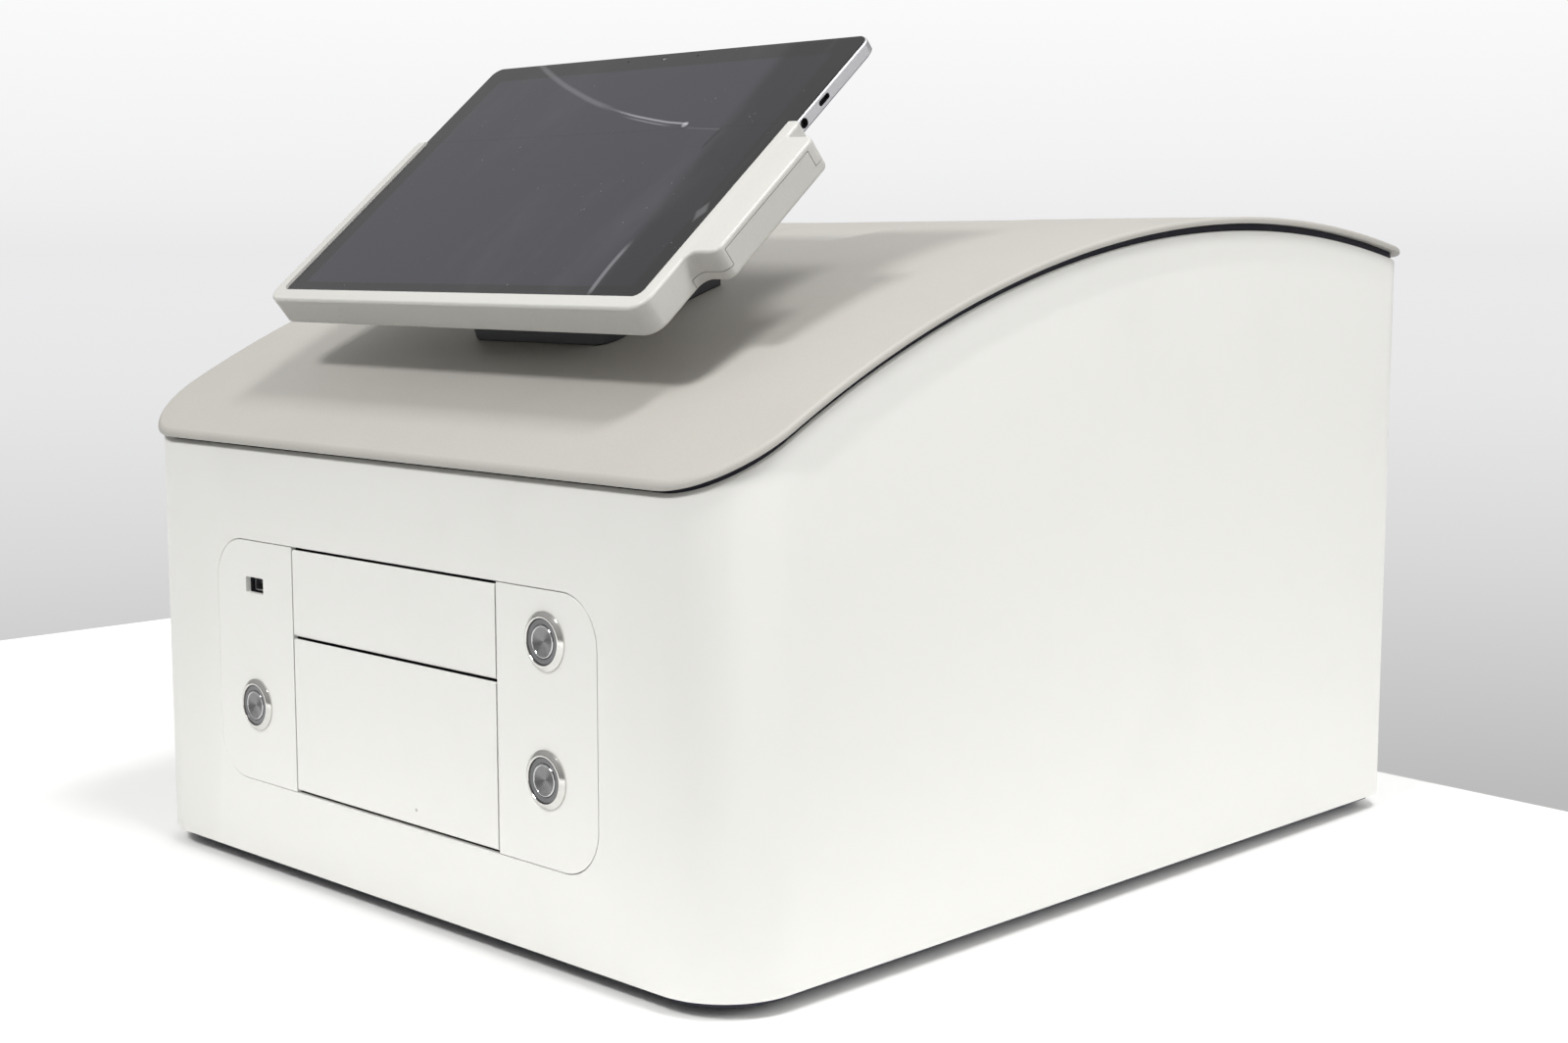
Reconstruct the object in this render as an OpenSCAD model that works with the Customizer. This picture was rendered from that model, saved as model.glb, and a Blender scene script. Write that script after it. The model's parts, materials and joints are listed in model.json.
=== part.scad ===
// Bench-top liquid handling robot: an arc-topped housing with two plate drawers,
// a pressure dispensing head inside and a tablet on a swivelling, tilting stand.
// Millimetres. +X is to the right seen from the front, +Y to the rear, +Z up.
// The origin is on the table, under the middle of the housing.

/* [Housing] */
// Width of the housing across its side walls
housing_w = 474; // [440:2:520]
// Depth of the housing from front face to rear face
housing_d = 557; // [530:1:600]
// Thickness of the painted sheet that wraps the housing
wall = 3; // [2:0.5:4]
// Radius of the two front vertical corners
front_corner_r = 40; // [25:1:55]
// Radius of the two rear vertical corners
rear_corner_r = 16; // [12:1:24]
// Height of the housing's top edge at its highest point
crest_z = 343; // [335:1:365]
// Distance of that highest point behind the middle of the housing
crest_y = 116; // [100:1:130]
// Radius of the arc that the top edge follows
crown_r = 734; // [710:2:800]
// Width of the flange turned in along the bottom edge
return_w = 14; // [10:1:20]
// Width of the stiffening rim inside the top edge
rim_w = 7; // [5:0.5:10]
// Height of that rim
rim_h = 9; // [6:1:14]

/* [Hood] */
// Thickness of the moulded hood
hood_t = 4.3; // [3:0.1:6]
// Distance that the hood stands out past the housing all round
hood_overhang = 3; // [2:0.5:4]
// Radius rolled over the hood's upper rim
hood_edge_r = 2.8; // [1:0.2:2.8]
// Height of the dark seal between housing and hood
seal_t = 3; // [2:0.5:5]
// Distance of the seal behind the housing's outer face
seal_inset = 2.2; // [1:0.2:2.6]
// Width of the seal
seal_w = 6; // [4:0.5:7]
// Width of the fixing frame bonded under the hood
hood_frame_w = 9; // [6:1:14]
// Depth of that fixing frame
hood_frame_h = 9; // [6:1:14]

/* [Base] */
// Thickness of the base plate
base_t = 3; // [2:0.5:4]
// Distance of the base plate behind the housing's outer face
base_inset = 6; // [4:1:9]
// Diameter of each rubber foot
foot_d = 34; // [24:1:44]
// Height of each rubber foot
foot_h = 5; // [4:0.5:8]
// Distance of a foot's middle from the housing's side
foot_setback_x = 47; // [35:1:60]
// Distance of a foot's middle from the housing's front or rear
foot_setback_y = 49; // [40:1:70]
// Thickness of the deck that carries the mechanism
deck_t = 4; // [3:0.5:6]

/* [Drawer fronts and trim plates] */
// Width across both trim plates
opening_w = 313; // [300:1:330]
// Height of the opening's lower edge above the table
opening_z = 50.3; // [44:0.1:60]
// Corner radius of the opening
opening_r = 24; // [15:1:30]
// Fine gap between a trim plate and the housing
trim_gap = 0.4; // [0.2:0.1:0.8]
// Width of both drawer fronts
drawer_w = 168; // [160:1:176]
// Height of the upper drawer front
upper_front_h = 45; // [42:0.5:52]
// Height of the lower drawer front
lower_front_h = 80.5; // [76:0.5:90]
// Dark gap above, between and below the drawer fronts
front_gap = 1.5; // [1:0.1:2.5]
// Gap beside the drawer fronts
side_gap = 1; // [0.6:0.1:1.6]
// Thickness of a drawer front
front_t = 6; // [5:0.5:8]
// Chamfer along a drawer front's upper and lower edge
front_chamfer = 0.8; // [0.3:0.1:1.2]
// Thickness of the dark frame behind the trim plates
front_frame_t = 4; // [3:0.5:5]
// Width by which that frame passes behind the housing's wall
front_frame_lap = 12; // [8:1:14]

/* [Push buttons] */
// Diameter of a button's polished flange
button_d = 28; // [25:0.5:30]
// Height that the flange stands out of the trim plate
button_lip = 2.3; // [1.5:0.1:2.6]
// Diameter of the threaded barrel behind the flange
button_barrel_d = 24; // [22:0.5:24.5]
// Outer diameter of the dark light ring
light_ring_d = 21.4; // [19:0.2:21.8]
// Diameter of the spun metal cap
button_cap_d = 15.5; // [13:0.5:17]
// Distance of each button's middle from the housing's middle
button_x = 120.5; // [115:0.5:126]
// Depth of the button's body behind the front face
button_depth = 30; // [24:1:36]
// Width of the cut-out for the socket on the left trim plate
usb_cut_w = 16.5; // [15:0.5:20]
// Height of that cut-out
usb_cut_h = 8.5; // [7.5:0.5:12]

/* [Drawers] */
// Distance that each drawer comes out
drawer_travel = 135; // [120:1:145]
// Length of the microplate that a drawer carries
plate_l = 127.76; // [127:0.01:128.5]
// Width of the microplate that a drawer carries
plate_w = 85.48; // [85:0.01:86]
// Height of the source plate in the upper drawer
plate_h = 14.4; // [10:0.1:16]
// Play all round a microplate in its nest
plate_play = 0.5; // [0.3:0.1:1]
// Distance of a nest's middle behind the front face
nest_setback = 68; // [64:1:72]
// Height of the locating corners of a nest
nest_corner_h = 5; // [3:0.5:7]
// Thickness of a drawer's floor
carrier_t = 5; // [4:0.5:7]
// Length of a carriage block along its rail
carriage_l = 60; // [40:1:70]
// Width of a carriage block
carriage_w = 27; // [24:1:30]
// Width of a guide rail
rail_w = 12; // [9:1:15]
// Height of a guide rail
rail_h = 6; // [5:0.5:7]
// Running gap between a rail and its carriage
rail_play = 0.15; // [0.1:0.05:0.3]

/* [Mechanism frame and drives] */
// Distance from the middle to the inner face of a side frame
frame_x = 94; // [92:1:97]
// Thickness of a side frame
frame_t = 4; // [3:0.5:5]
// Height of the side frames' upper edge above the table
frame_top_z = 212; // [208:1:220]
// Radius of a belt pulley where the belt runs
pulley_r = 6.4; // [5.5:0.1:7.5]
// Width of a drive belt
belt_w = 5; // [4:0.5:6]
// Thickness of a drive belt
belt_t = 1.5; // [1:0.1:2]
// Side length of a stepper motor
motor_w = 42.3; // [38:0.1:44]
// Length of a stepper motor
motor_l = 40; // [30:1:48]
// Diameter of a motor shaft
motor_shaft_d = 5; // [4:0.1:6]

/* [Dispensing head] */
// Number of nozzles in the row
nozzle_count = 8; // [4:1:8]
// Distance from one nozzle to the next
nozzle_pitch = 9; // [8:0.5:9]
// Outer diameter of a nozzle
nozzle_d = 5; // [4:0.1:6]
// Bore of a nozzle
nozzle_bore = 2; // [1:0.1:3]
// Distance that the head presses down
press_travel = 5; // [3:0.5:5]
// Width of the manifold block
manifold_w = 28; // [24:1:34]
// Height of the manifold block
manifold_h = 24; // [20:1:28]
// Distance that the head moves to either side of the middle
head_reach = 50; // [40:1:54]

/* [Tablet stand] */
// Distance of the stand to the right of the middle
stand_x = 6; // [-10:0.5:10]
// Distance of the stand's foot in front of the housing's middle
stand_forward = 134.8; // [110:0.2:145]
// Side length of the square foot on the hood
stand_foot_w = 114; // [100:1:124]
// Corner radius of that foot
stand_foot_r = 12; // [6:1:20]
// Thickness of that foot
stand_foot_t = 8; // [6:0.5:10]
// Height of the tilt hinge above the hood, square to the hood
hinge_h = 40.5; // [39:0.5:50]
// Distance from the tilt hinge to the tablet's glass
hinge_to_glass = 36; // [36:0.5:44]
// Tilt of the tablet from horizontal as stored
tablet_tilt = 40.2; // [30:0.2:48]
// Diameter of the tilt hinge's pin
tilt_pin_d = 8; // [6:0.5:9]
// Radial running gap at that pin
tilt_pin_play = 0.05; // [0.02:0.01:0.1]

/* [Tablet and cradle] */
// Width of the tablet
tablet_w = 292.1; // [286:0.1:298]
// Height of the tablet
tablet_h = 201.4; // [196:0.1:208]
// Thickness of the tablet
tablet_t = 8.5; // [7.5:0.1:9]
// Corner radius of the tablet
tablet_r = 7; // [5:0.5:10]
// Width of the side walls of the cradle beside the tablet
cradle_side = 4.1; // [3:0.1:6]
// Width of the lower wall of the cradle below the tablet
cradle_bottom = 2.3; // [2:0.1:4]
// Play between the tablet and the cradle's walls
tablet_play = 0.3; // [0.2:0.1:0.6]
// Width of the cradle's lip over the tablet's sides
lip_side = 3; // [2:0.1:5]
// Width of the cradle's lip over the tablet's lower edge
lip_bottom = 5.5; // [4:0.1:7]
// Height of the lip above the glass
lip_t = 1.6; // [1.2:0.1:2.4]
// Depth of the cradle behind the glass
cradle_depth = 15.7; // [15:0.1:18]
// Thickness of the cradle's back
cradle_back_t = 3; // [2.5:0.1:3.5]
// Outer corner radius of the cradle
cradle_r = 10; // [7:0.5:14]
// Distance that the cradle's arms rise above the tablet's middle
arm_rise = 31.5; // [24:0.5:40]
// Distance that the connector module stands out of the right arm
module_out = 18; // [14:0.5:22]
// Height of the module's lower end below the tablet's middle
module_drop = 64.5; // [58:0.5:72]
// Height of the module's upper end above the tablet's middle
module_rise = 18.7; // [12:0.1:20]
// Radius of the module's outer corners and of the step's hollow
module_r = 5; // [4:0.5:6]
// Depth of the module's rear cover
cover_t = 5.7; // [5:0.1:6.5]

/* [Services] */
// Gap between the housing's sides and the power supply and control board
service_side = 18; // [12:1:24]
// Gap between the mechanism frame and the services behind it
service_gap = 40.5; // [30:0.5:50]
// Diameter of the air reservoir
reservoir_d = 60; // [50:1:64]
// Diameter of the pump's motor
pump_d = 40; // [34:1:44]
// Width of the power supply
supply_w = 94; // [80:1:96]
// Height of the power supply
supply_h = 42; // [34:1:50]
// Width of the control board
board_w = 92; // [80:1:96]
// Height of the control board above the deck
board_rise = 10; // [6:1:16]

/* [Rear] */
// Width of the opening in the rear wall
rear_open_w = 360; // [340:2:372]
// Height of the rear opening's lower edge above the table
rear_open_z = 34; // [28:1:40]
// Height of the rear opening
rear_open_h = 216; // [206:1:230]
// Thickness of the rear panel
rear_panel_t = 2; // [1.5:0.5:3]
// Side length of the cooling fan
fan_w = 80; // [70:1:84]
// Depth of the cooling fan
fan_depth = 25; // [20:1:30]
// Number of blades on the fan's rotor
fan_blades = 7; // [5:1:9]

/* [Hidden] */
$fn = 48;

// Faces used to look up a size past every solid, and cut a little past a face
beyond = 1000;
cut = 1;
// Smallest inside corner radius of a bent sheet
least_r = 4;
// Gap left under the faceted hood and between parts that seat on a curve
seat_gap = 0.15;

// Housing
front_y = -housing_d / 2;
rear_y = housing_d / 2;
housing_z = foot_h + base_t;
flange_t = wall;
crown_z = crest_z - crown_r;
deck_z = housing_z + flange_t;
deck_top = deck_z + deck_t;
hood_under_r = crown_r + seal_t;
hood_top_r = hood_under_r + hood_t;

// Front opening and what fills it
opening_h = lower_front_h + upper_front_h + 3 * front_gap;
lower_front_z = opening_z + front_gap;
upper_front_z = lower_front_z + lower_front_h + front_gap;
target_mid_z = lower_front_z + lower_front_h / 2;
source_mid_z = upper_front_z + upper_front_h / 2;
inner_y = front_y + wall + front_frame_t;
button_places = [[-button_x, target_mid_z], [button_x, source_mid_z], [button_x, target_mid_z]];
button_play = 0.15;
button_hole_r = button_barrel_d / 2 + 0.3;
button_nut_t = 4;
usb_recess = 5;

// Drawers
source_floor_z = upper_front_z + 4;
target_floor_z = lower_front_z + 5;
nest_y = front_y + nest_setback;
flange_stop = 4;
drawer_flange_t = 4;
carriage_y = inner_y + flange_stop + drawer_travel;
carriage_in_x = frame_x - 9.5;
carriage_out_x = frame_x - 2;
carrier_half_w = drawer_w / 2 - 1.5;
rail_end_y = carriage_y + carriage_l + 6;
frame_end_y = rail_end_y + 66;

// Belt drives
belt_play = 0.1;
belt_in_r = pulley_r + belt_play;
belt_out_r = belt_in_r + belt_t;
belt_mid_r = (belt_in_r + belt_out_r) / 2;
belt_x = frame_x + frame_t + 3;
drive_y = rail_end_y + 30;
idler_y = inner_y + 14;
clamp_rise = rail_w / 2 + 4.5;
clamp_h = 5.6;
clamp_l = 16;
idler_pin_d = 4;

// Dispensing head
nozzle_tip_z = source_floor_z + carrier_t + plate_h + press_travel;
nozzle_l = 10;
manifold_z = nozzle_tip_z + nozzle_l;
manifold_top = manifold_z + manifold_h;
manifold_l = (nozzle_count - 1) * nozzle_pitch + 13;
bridge_t = 8;
bridge_y = nest_y + 60;
bridge_h = 38;
head_rail_z = frame_top_z + bridge_h / 2;
head_block_y = bridge_y - rail_h - 8;
guide_plate_t = 6;
guide_y = head_block_y - guide_plate_t;
press_play = 0.2;
press_block_t = 12;
press_rod_d = 5;
press_y = guide_y - press_play - press_block_t / 2;

// Stand: the foot lies square to the hood's arc, and the hinge is above it
stand_y = -stand_forward;
stand_lean = asin((crest_y - stand_y) / hood_top_r);
stand_z = crown_z + hood_top_r * cos(stand_lean);
bearing_d = 60;
bearing_t = 7;
yoke_base_t = 6;
yoke_play = 0.3;
yoke_base_h = stand_foot_t + bearing_t + yoke_play;
ear_gap = 36;
ear_t = 7;
ear_r = 10;
knuckle_play = 0.3;
tilt_plate_w = 110;
tilt_plate_h = 90;
tilt_plate_t = 4;
tilt_plate_mid = -15;
tilt_hole_pitch = 75;

// Cradle and tablet, in the tablet's own plane: x right, y up the glass, z out of it
cradle_half_w = tablet_w / 2 + tablet_play + cradle_side;
cradle_low = tablet_h / 2 + tablet_play + cradle_bottom;
module_x = cradle_half_w + module_out;
arm_tip_r = 4;
notch_r = 2.5;
module_wall = 3;
cover_x = cradle_half_w - cradle_side - 4;
cover_lap = 6.5;
panel_t = 1.5;
glass_t = 0.9;
glass_rim = 0.7;
kickstand_w = 270;
kickstand_h = 96;
kickstand_t = 1.6;
// Ports in the tablet's right side: height above its middle, width and depth of the cut
dock_port = [4, 12.6, 5];
display_port = [56, 8, 5];

// Services between the mechanism frame and the rear panel
service_y = frame_end_y + service_gap;
service_end_y = rear_y - wall - rear_panel_t - fan_depth - 18.5;
service_l = service_end_y - service_y;
pump_x = -82;

// Rear panel: middles of what it carries, and the cut-outs of inlet, switch and network socket
fan_x = 110;
fan_z = 150;
grille_x = -100;
inlet_x = -140;
switch_x = -104;
network_x = -64;
sockets_z = 62;
inlet_w = 27.4;
inlet_h = 20;
switch_w = 19.4;
switch_h = 13;
network_w = 16.4;
network_h = 14;
rocker_tilt = 7;
rocker_depth = 5.5;
rocker_play = 0.7;
rocker_pin_r = 1.2;

// ---- Shared shapes -------------------------------------------------------------

// Plan of the housing, grown or shrunk all round, with its own corner radii
module body_plan(grow) {
    hw = housing_w / 2 + grow;
    hd = housing_d / 2 + grow;
    rf = max(front_corner_r + grow, least_r);
    rr = max(rear_corner_r + grow, least_r);
    polygon([[-hw + rf, -hd], [hw - rf, -hd], [hw, -hd + rf], [hw, hd - rr], [hw - rr, hd],
        [-hw + rr, hd], [-hw, hd - rr], [-hw, -hd + rf]]);
    for (side = [-1, 1]) {
        translate([side * (hw - rf), -hd + rf]) circle(rf, $fn = 96);
        translate([side * (hw - rr), hd - rr]) circle(rr, $fn = 64);
    }
}

module body_prism(grow, z, h) {
    translate([0, 0, z]) linear_extrude(h) body_plan(grow);
}

// Everything below the arc of radius r that the top edge follows
module under_crown(r) {
    translate([-housing_w, crest_y, crown_z]) rotate([0, 90, 0])
        cylinder(h = 2 * housing_w, r = r, $fn = 720);
}

// A ring with the housing's plan, between two insets and between two arcs
module crown_ring(inset, width, r_low, r_high) {
    difference() {
        intersection() {
            difference() {
                body_prism(-inset, housing_z + crest_z / 2, crest_z);
                body_prism(-inset - width, housing_z, 2 * crest_z);
            }
            under_crown(r_high);
        }
        under_crown(r_low);
    }
}

// Rectangle with round corners, its lower left corner at the origin
module round_rect(w, h, r) {
    polygon([[r, 0], [w - r, 0], [w, r], [w, h - r], [w - r, h], [r, h], [0, h - r], [0, r]]);
    for (x = [r, w - r], y = [r, h - r]) translate([x, y]) circle(r);
}

module round_rect_mid(w, h, r) {
    translate([-w / 2, -h / 2]) round_rect(w, h, r);
}

// Stands a flat shape up behind the front face: x stays, y becomes height
module front_sheet(y, t) {
    translate([0, y + t, 0]) rotate([90, 0, 0]) linear_extrude(t) children();
}

// Local z points out of the front face at (x, z)
module at_front(x, z) {
    translate([x, front_y, z]) rotate([90, 0, 0]) children();
}

// Local z points out of the rear panel's outer face at (x, z), local x to the left
module at_rear(x, z) {
    translate([x, rear_y - wall, z]) rotate([90, 0, 180]) children();
}

// Local z points out along X, for what turns or lies across the machine
module along_x(x, y, z) {
    translate([x, y, z]) rotate([90, 0, 90]) children();
}

module box(x0, x1, y0, y1, z0, z1) {
    translate([x0, y0, z0]) cube([x1 - x0, y1 - y0, z1 - z0]);
}

function arc(cx, cy, r, a0, a1, n) =
    [for (i = [0:n]) let (a = a0 + (a1 - a0) * i / n) [cx + r * cos(a), cy + r * sin(a)]];

// Skin over rings of points that all have the same number of points, closed at both ends
module loft(rings, low_faces, high_faces) {
    n = len(rings[0]);
    last = len(rings) - 1;
    points = [for (ring = rings, p = ring) p];
    sides = [for (k = [0:last - 1], i = [0:n - 1]) let (j = (i + 1) % n)
        each [[k * n + i, (k + 1) * n + i, k * n + j], [k * n + j, (k + 1) * n + i, (k + 1) * n + j]]];
    polyhedron(points, concat(sides, low_faces, high_faces), convexity = 8);
}

// ---- Housing and hood ----------------------------------------------------------

module housing_shell() {
    color([0.93, 0.93, 0.91]) difference() {
        union() {
            difference() {
                intersection() {
                    body_prism(0, housing_z, 2 * crest_z);
                    under_crown(crown_r);
                }
                body_prism(-wall, housing_z - cut, 2 * crest_z);
            }
            bottom_return();
            crown_ring(wall - 0.01, rim_w, crown_r - rim_h, crown_r);
        }
        front_sheet(front_y - cut, wall + 2 * cut)
            translate([-opening_w / 2, opening_z]) round_rect(opening_w, opening_h, opening_r);
        box(-rear_open_w / 2, rear_open_w / 2, rear_y - wall - cut, rear_y + cut,
            rear_open_z, rear_open_z + rear_open_h);
    }
}

// The flange turned in along the bottom, which carries the deck
module bottom_return() {
    difference() {
        body_prism(-wall + 0.01, housing_z, flange_t);
        body_prism(-wall - return_w, housing_z - cut, flange_t + 2 * cut);
    }
}

// Right half of the hood's plan, grown by g, from front middle to rear middle
function hood_side(g) = let (hw = housing_w / 2 + g, hd = housing_d / 2 + g,
        rf = front_corner_r + g, rr = rear_corner_r + g, y0 = -hd + rf, y1 = hd - rr, spans = 24)
    concat(arc(hw - rf, -hd + rf, rf, -90, 0, 9),
        [for (i = [1:spans - 1]) [hw, y0 + (y1 - y0) * i / spans]],
        arc(hw - rr, hd - rr, rr, 0, 90, 6));

function hood_ring(g, r) = let (side = hood_side(g), n = len(side),
        plan = concat(side, [for (i = [n - 1:-1:0]) [-side[i][0], side[i][1]]]))
    [for (p = plan) [p[0], p[1], crown_z + sqrt(r * r - pow(p[1] - crest_y, 2))]];

// Strips across the hood, from each point on the right to its mirror on the left
function hood_strips(n, start, up) = [for (i = [0:n / 2 - 2])
    let (a = start + i, b = start + i + 1, c = start + n - 2 - i, d = start + n - 1 - i)
        each up ? [[a, d, b], [b, d, c]] : [[a, b, d], [b, c, d]]];

// A crowned sheet with its upper rim rolled over
module hood() {
    roll = [for (a = [0:22.5:90]) a];
    rings = concat([hood_ring(hood_overhang - 0.5, hood_under_r)],
        [hood_ring(hood_overhang, hood_under_r + 0.5)],
        [for (a = roll) hood_ring(hood_overhang - hood_edge_r * (1 - cos(a)),
            hood_top_r - hood_edge_r * (1 - sin(a)))]);
    n = len(rings[0]);
    color([0.78, 0.77, 0.75]) loft(rings, hood_strips(n, 0, false),
        hood_strips(n, n * (len(rings) - 1), true));
}

module hood_seal() {
    color([0.06, 0.06, 0.08]) crown_ring(seal_inset, seal_w, crown_r, hood_under_r - seat_gap);
}

// The frame bonded under the hood, with a boss at each fixing
module hood_frame() {
    inset = wall + rim_w + 0.5;
    color([0.15, 0.15, 0.16]) crown_ring(inset, hood_frame_w, hood_under_r - seat_gap - hood_frame_h,
        hood_under_r - seat_gap);
}

// ---- Base and deck -------------------------------------------------------------

module base_plate() {
    slot_l = 60;
    color([0.1, 0.1, 0.11]) difference() {
        body_prism(-base_inset, foot_h, base_t);
        for (side = [-1, 1], i = [0:7]) translate([side * 110, 40 + i * 16, foot_h - cut])
            linear_extrude(base_t + 2 * cut) round_rect_mid(slot_l, 5, 2.4);
    }
}

module feet() {
    color([0.08, 0.08, 0.08])
        for (sx = [-1, 1], sy = [-1, 1]) {
            translate([sx * (housing_w / 2 - foot_setback_x), sy * (housing_d / 2 - foot_setback_y), 0])
                rotate_extrude() polygon([[3, 0.8], [foot_d / 2 - 3, 0.8], [foot_d / 2 - 3, 0],
                    [foot_d / 2 - 1, 0], [foot_d / 2, foot_h], [3, foot_h]]);
        }
}

module deck_plate() {
    color([0.7, 0.71, 0.72]) difference() {
        body_prism(-wall - 5, deck_z, deck_t);
        for (side = [-1, 1]) translate([side * 165, -120, deck_z - cut])
            linear_extrude(deck_t + 2 * cut) round_rect_mid(80, 200, 12);
        translate([0, -150, deck_z - cut]) linear_extrude(deck_t + 2 * cut) round_rect_mid(150, 160, 12);
    }
}

// ---- Front trim ----------------------------------------------------------------

module trim_outline() {
    translate([-opening_w / 2 + trim_gap, opening_z + trim_gap])
        round_rect(opening_w - 2 * trim_gap, opening_h - 2 * trim_gap, opening_r - trim_gap);
}

module trim_plate(side) {
    inner_x = drawer_w / 2 + side_gap;
    difference() {
        front_sheet(front_y, wall) intersection() {
            trim_outline();
            translate([side > 0 ? inner_x : -opening_w, 0]) square([opening_w - inner_x, beyond]);
        }
        for (p = button_places) at_front(p[0], p[1]) translate([0, 0, -wall - cut])
            cylinder(h = wall + 2 * cut, r = button_hole_r);
        if (side < 0) at_front(-button_x, source_mid_z) translate([0, 0, -wall - cut])
            linear_extrude(wall + 2 * cut) round_rect_mid(usb_cut_w, usb_cut_h, 0.6);
    }
}

module bezel_left() {
    color([0.94, 0.94, 0.92]) trim_plate(-1);
}

module bezel_right() {
    color([0.94, 0.94, 0.92]) trim_plate(1);
}

// The dark frame behind the trim plates, which the buttons clamp to
module front_frame() {
    w = opening_w + 2 * front_frame_lap;
    h = opening_h + 2 * front_frame_lap;
    color([0.09, 0.09, 0.1]) difference() {
        front_sheet(front_y + wall, front_frame_t)
            translate([-w / 2, opening_z - front_frame_lap]) round_rect(w, h, opening_r);
        box(-drawer_w / 2 - side_gap, drawer_w / 2 + side_gap, front_y, inner_y + cut,
            opening_z, opening_z + opening_h);
        for (p = button_places) at_front(p[0], p[1]) translate([0, 0, -wall - front_frame_t - cut])
            cylinder(h = front_frame_t + 2 * cut, r = button_hole_r);
        at_front(-button_x, source_mid_z) translate([0, 0, -wall - front_frame_t - cut])
            linear_extrude(front_frame_t + 2 * cut) round_rect_mid(usb_cut_w, usb_cut_h, 0.6);
    }
}

// A metal socket shell with its tongue and housing, set back behind the cut-out
module usb_port() {
    depth = 18;
    at_front(-button_x, source_mid_z) translate([0, 0, -usb_recess - depth]) {
        color([0.75, 0.75, 0.76]) difference() {
            linear_extrude(depth) round_rect_mid(14.2, 6.8, 0.6);
            translate([0, 0, 4]) linear_extrude(depth) round_rect_mid(13, 5.6, 0.5);
        }
        color([0.1, 0.1, 0.12]) translate([-5.4, 0.4, 4]) cube([10.8, 1.8, depth - 5.5]);
        color([0.1, 0.3, 0.15]) translate([-13, -8, -1.6]) cube([26, 16, 1.6]);
        color([0.7, 0.7, 0.7]) for (x = [-10.5, 10.5]) translate([x, 0, 0])
            cylinder(h = depth + usb_recess - wall - front_frame_t, r = 2);
    }
}

// ---- Push buttons --------------------------------------------------------------

module button_shell() {
    r = button_d / 2;
    barrel = button_barrel_d / 2;
    bore = light_ring_d / 2 + 0.1;
    color([0.8, 0.8, 0.8]) rotate_extrude($fn = 72) polygon([[r, 0], [r, 0.7], [r - 0.5, 1.1],
        [bore + 0.9, button_lip], [bore + 0.3, button_lip], [bore, button_lip - 0.3], [bore, -14],
        [4, -14], [4, -button_depth], [8.5, -button_depth], [8.5, -18], [barrel, -18], [barrel, 0]]);
}

module button_shells() {
    for (p = button_places) at_front(p[0], p[1]) button_shell();
}

module button_rings() {
    cap = button_cap_d / 2 + button_play;
    color([0.2, 0.2, 0.21]) for (p = button_places) at_front(p[0], p[1])
        rotate_extrude($fn = 72) polygon([[cap, -8], [light_ring_d / 2, -8], [light_ring_d / 2, 1.1],
            [light_ring_d / 2 - 0.4, 1.5], [cap + 0.2, 1.5], [cap, 1.3]]);
}

module button_nuts() {
    color([0.72, 0.72, 0.73]) for (p = button_places) at_front(p[0], p[1])
        translate([0, 0, -wall - front_frame_t - button_nut_t]) difference() {
            cylinder(h = button_nut_t, r = button_barrel_d / 2 + 4.5, $fn = 6);
            translate([0, 0, -cut]) cylinder(h = button_nut_t + 2 * cut, r = button_barrel_d / 2 + 0.1);
        }
}

// The spun cap with its stem, dished a little in the middle
module button_cap(place) {
    r = button_cap_d / 2;
    color([0.66, 0.66, 0.66]) at_front(place[0], place[1])
        rotate_extrude($fn = 72) polygon([[0, -11.5], [r, -11.5], [r, 1.5], [r - 0.4, 1.9],
            [r - 1.2, 1.9], [0, 1.6]]);
}

// ---- Mechanism frame -----------------------------------------------------------

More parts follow.
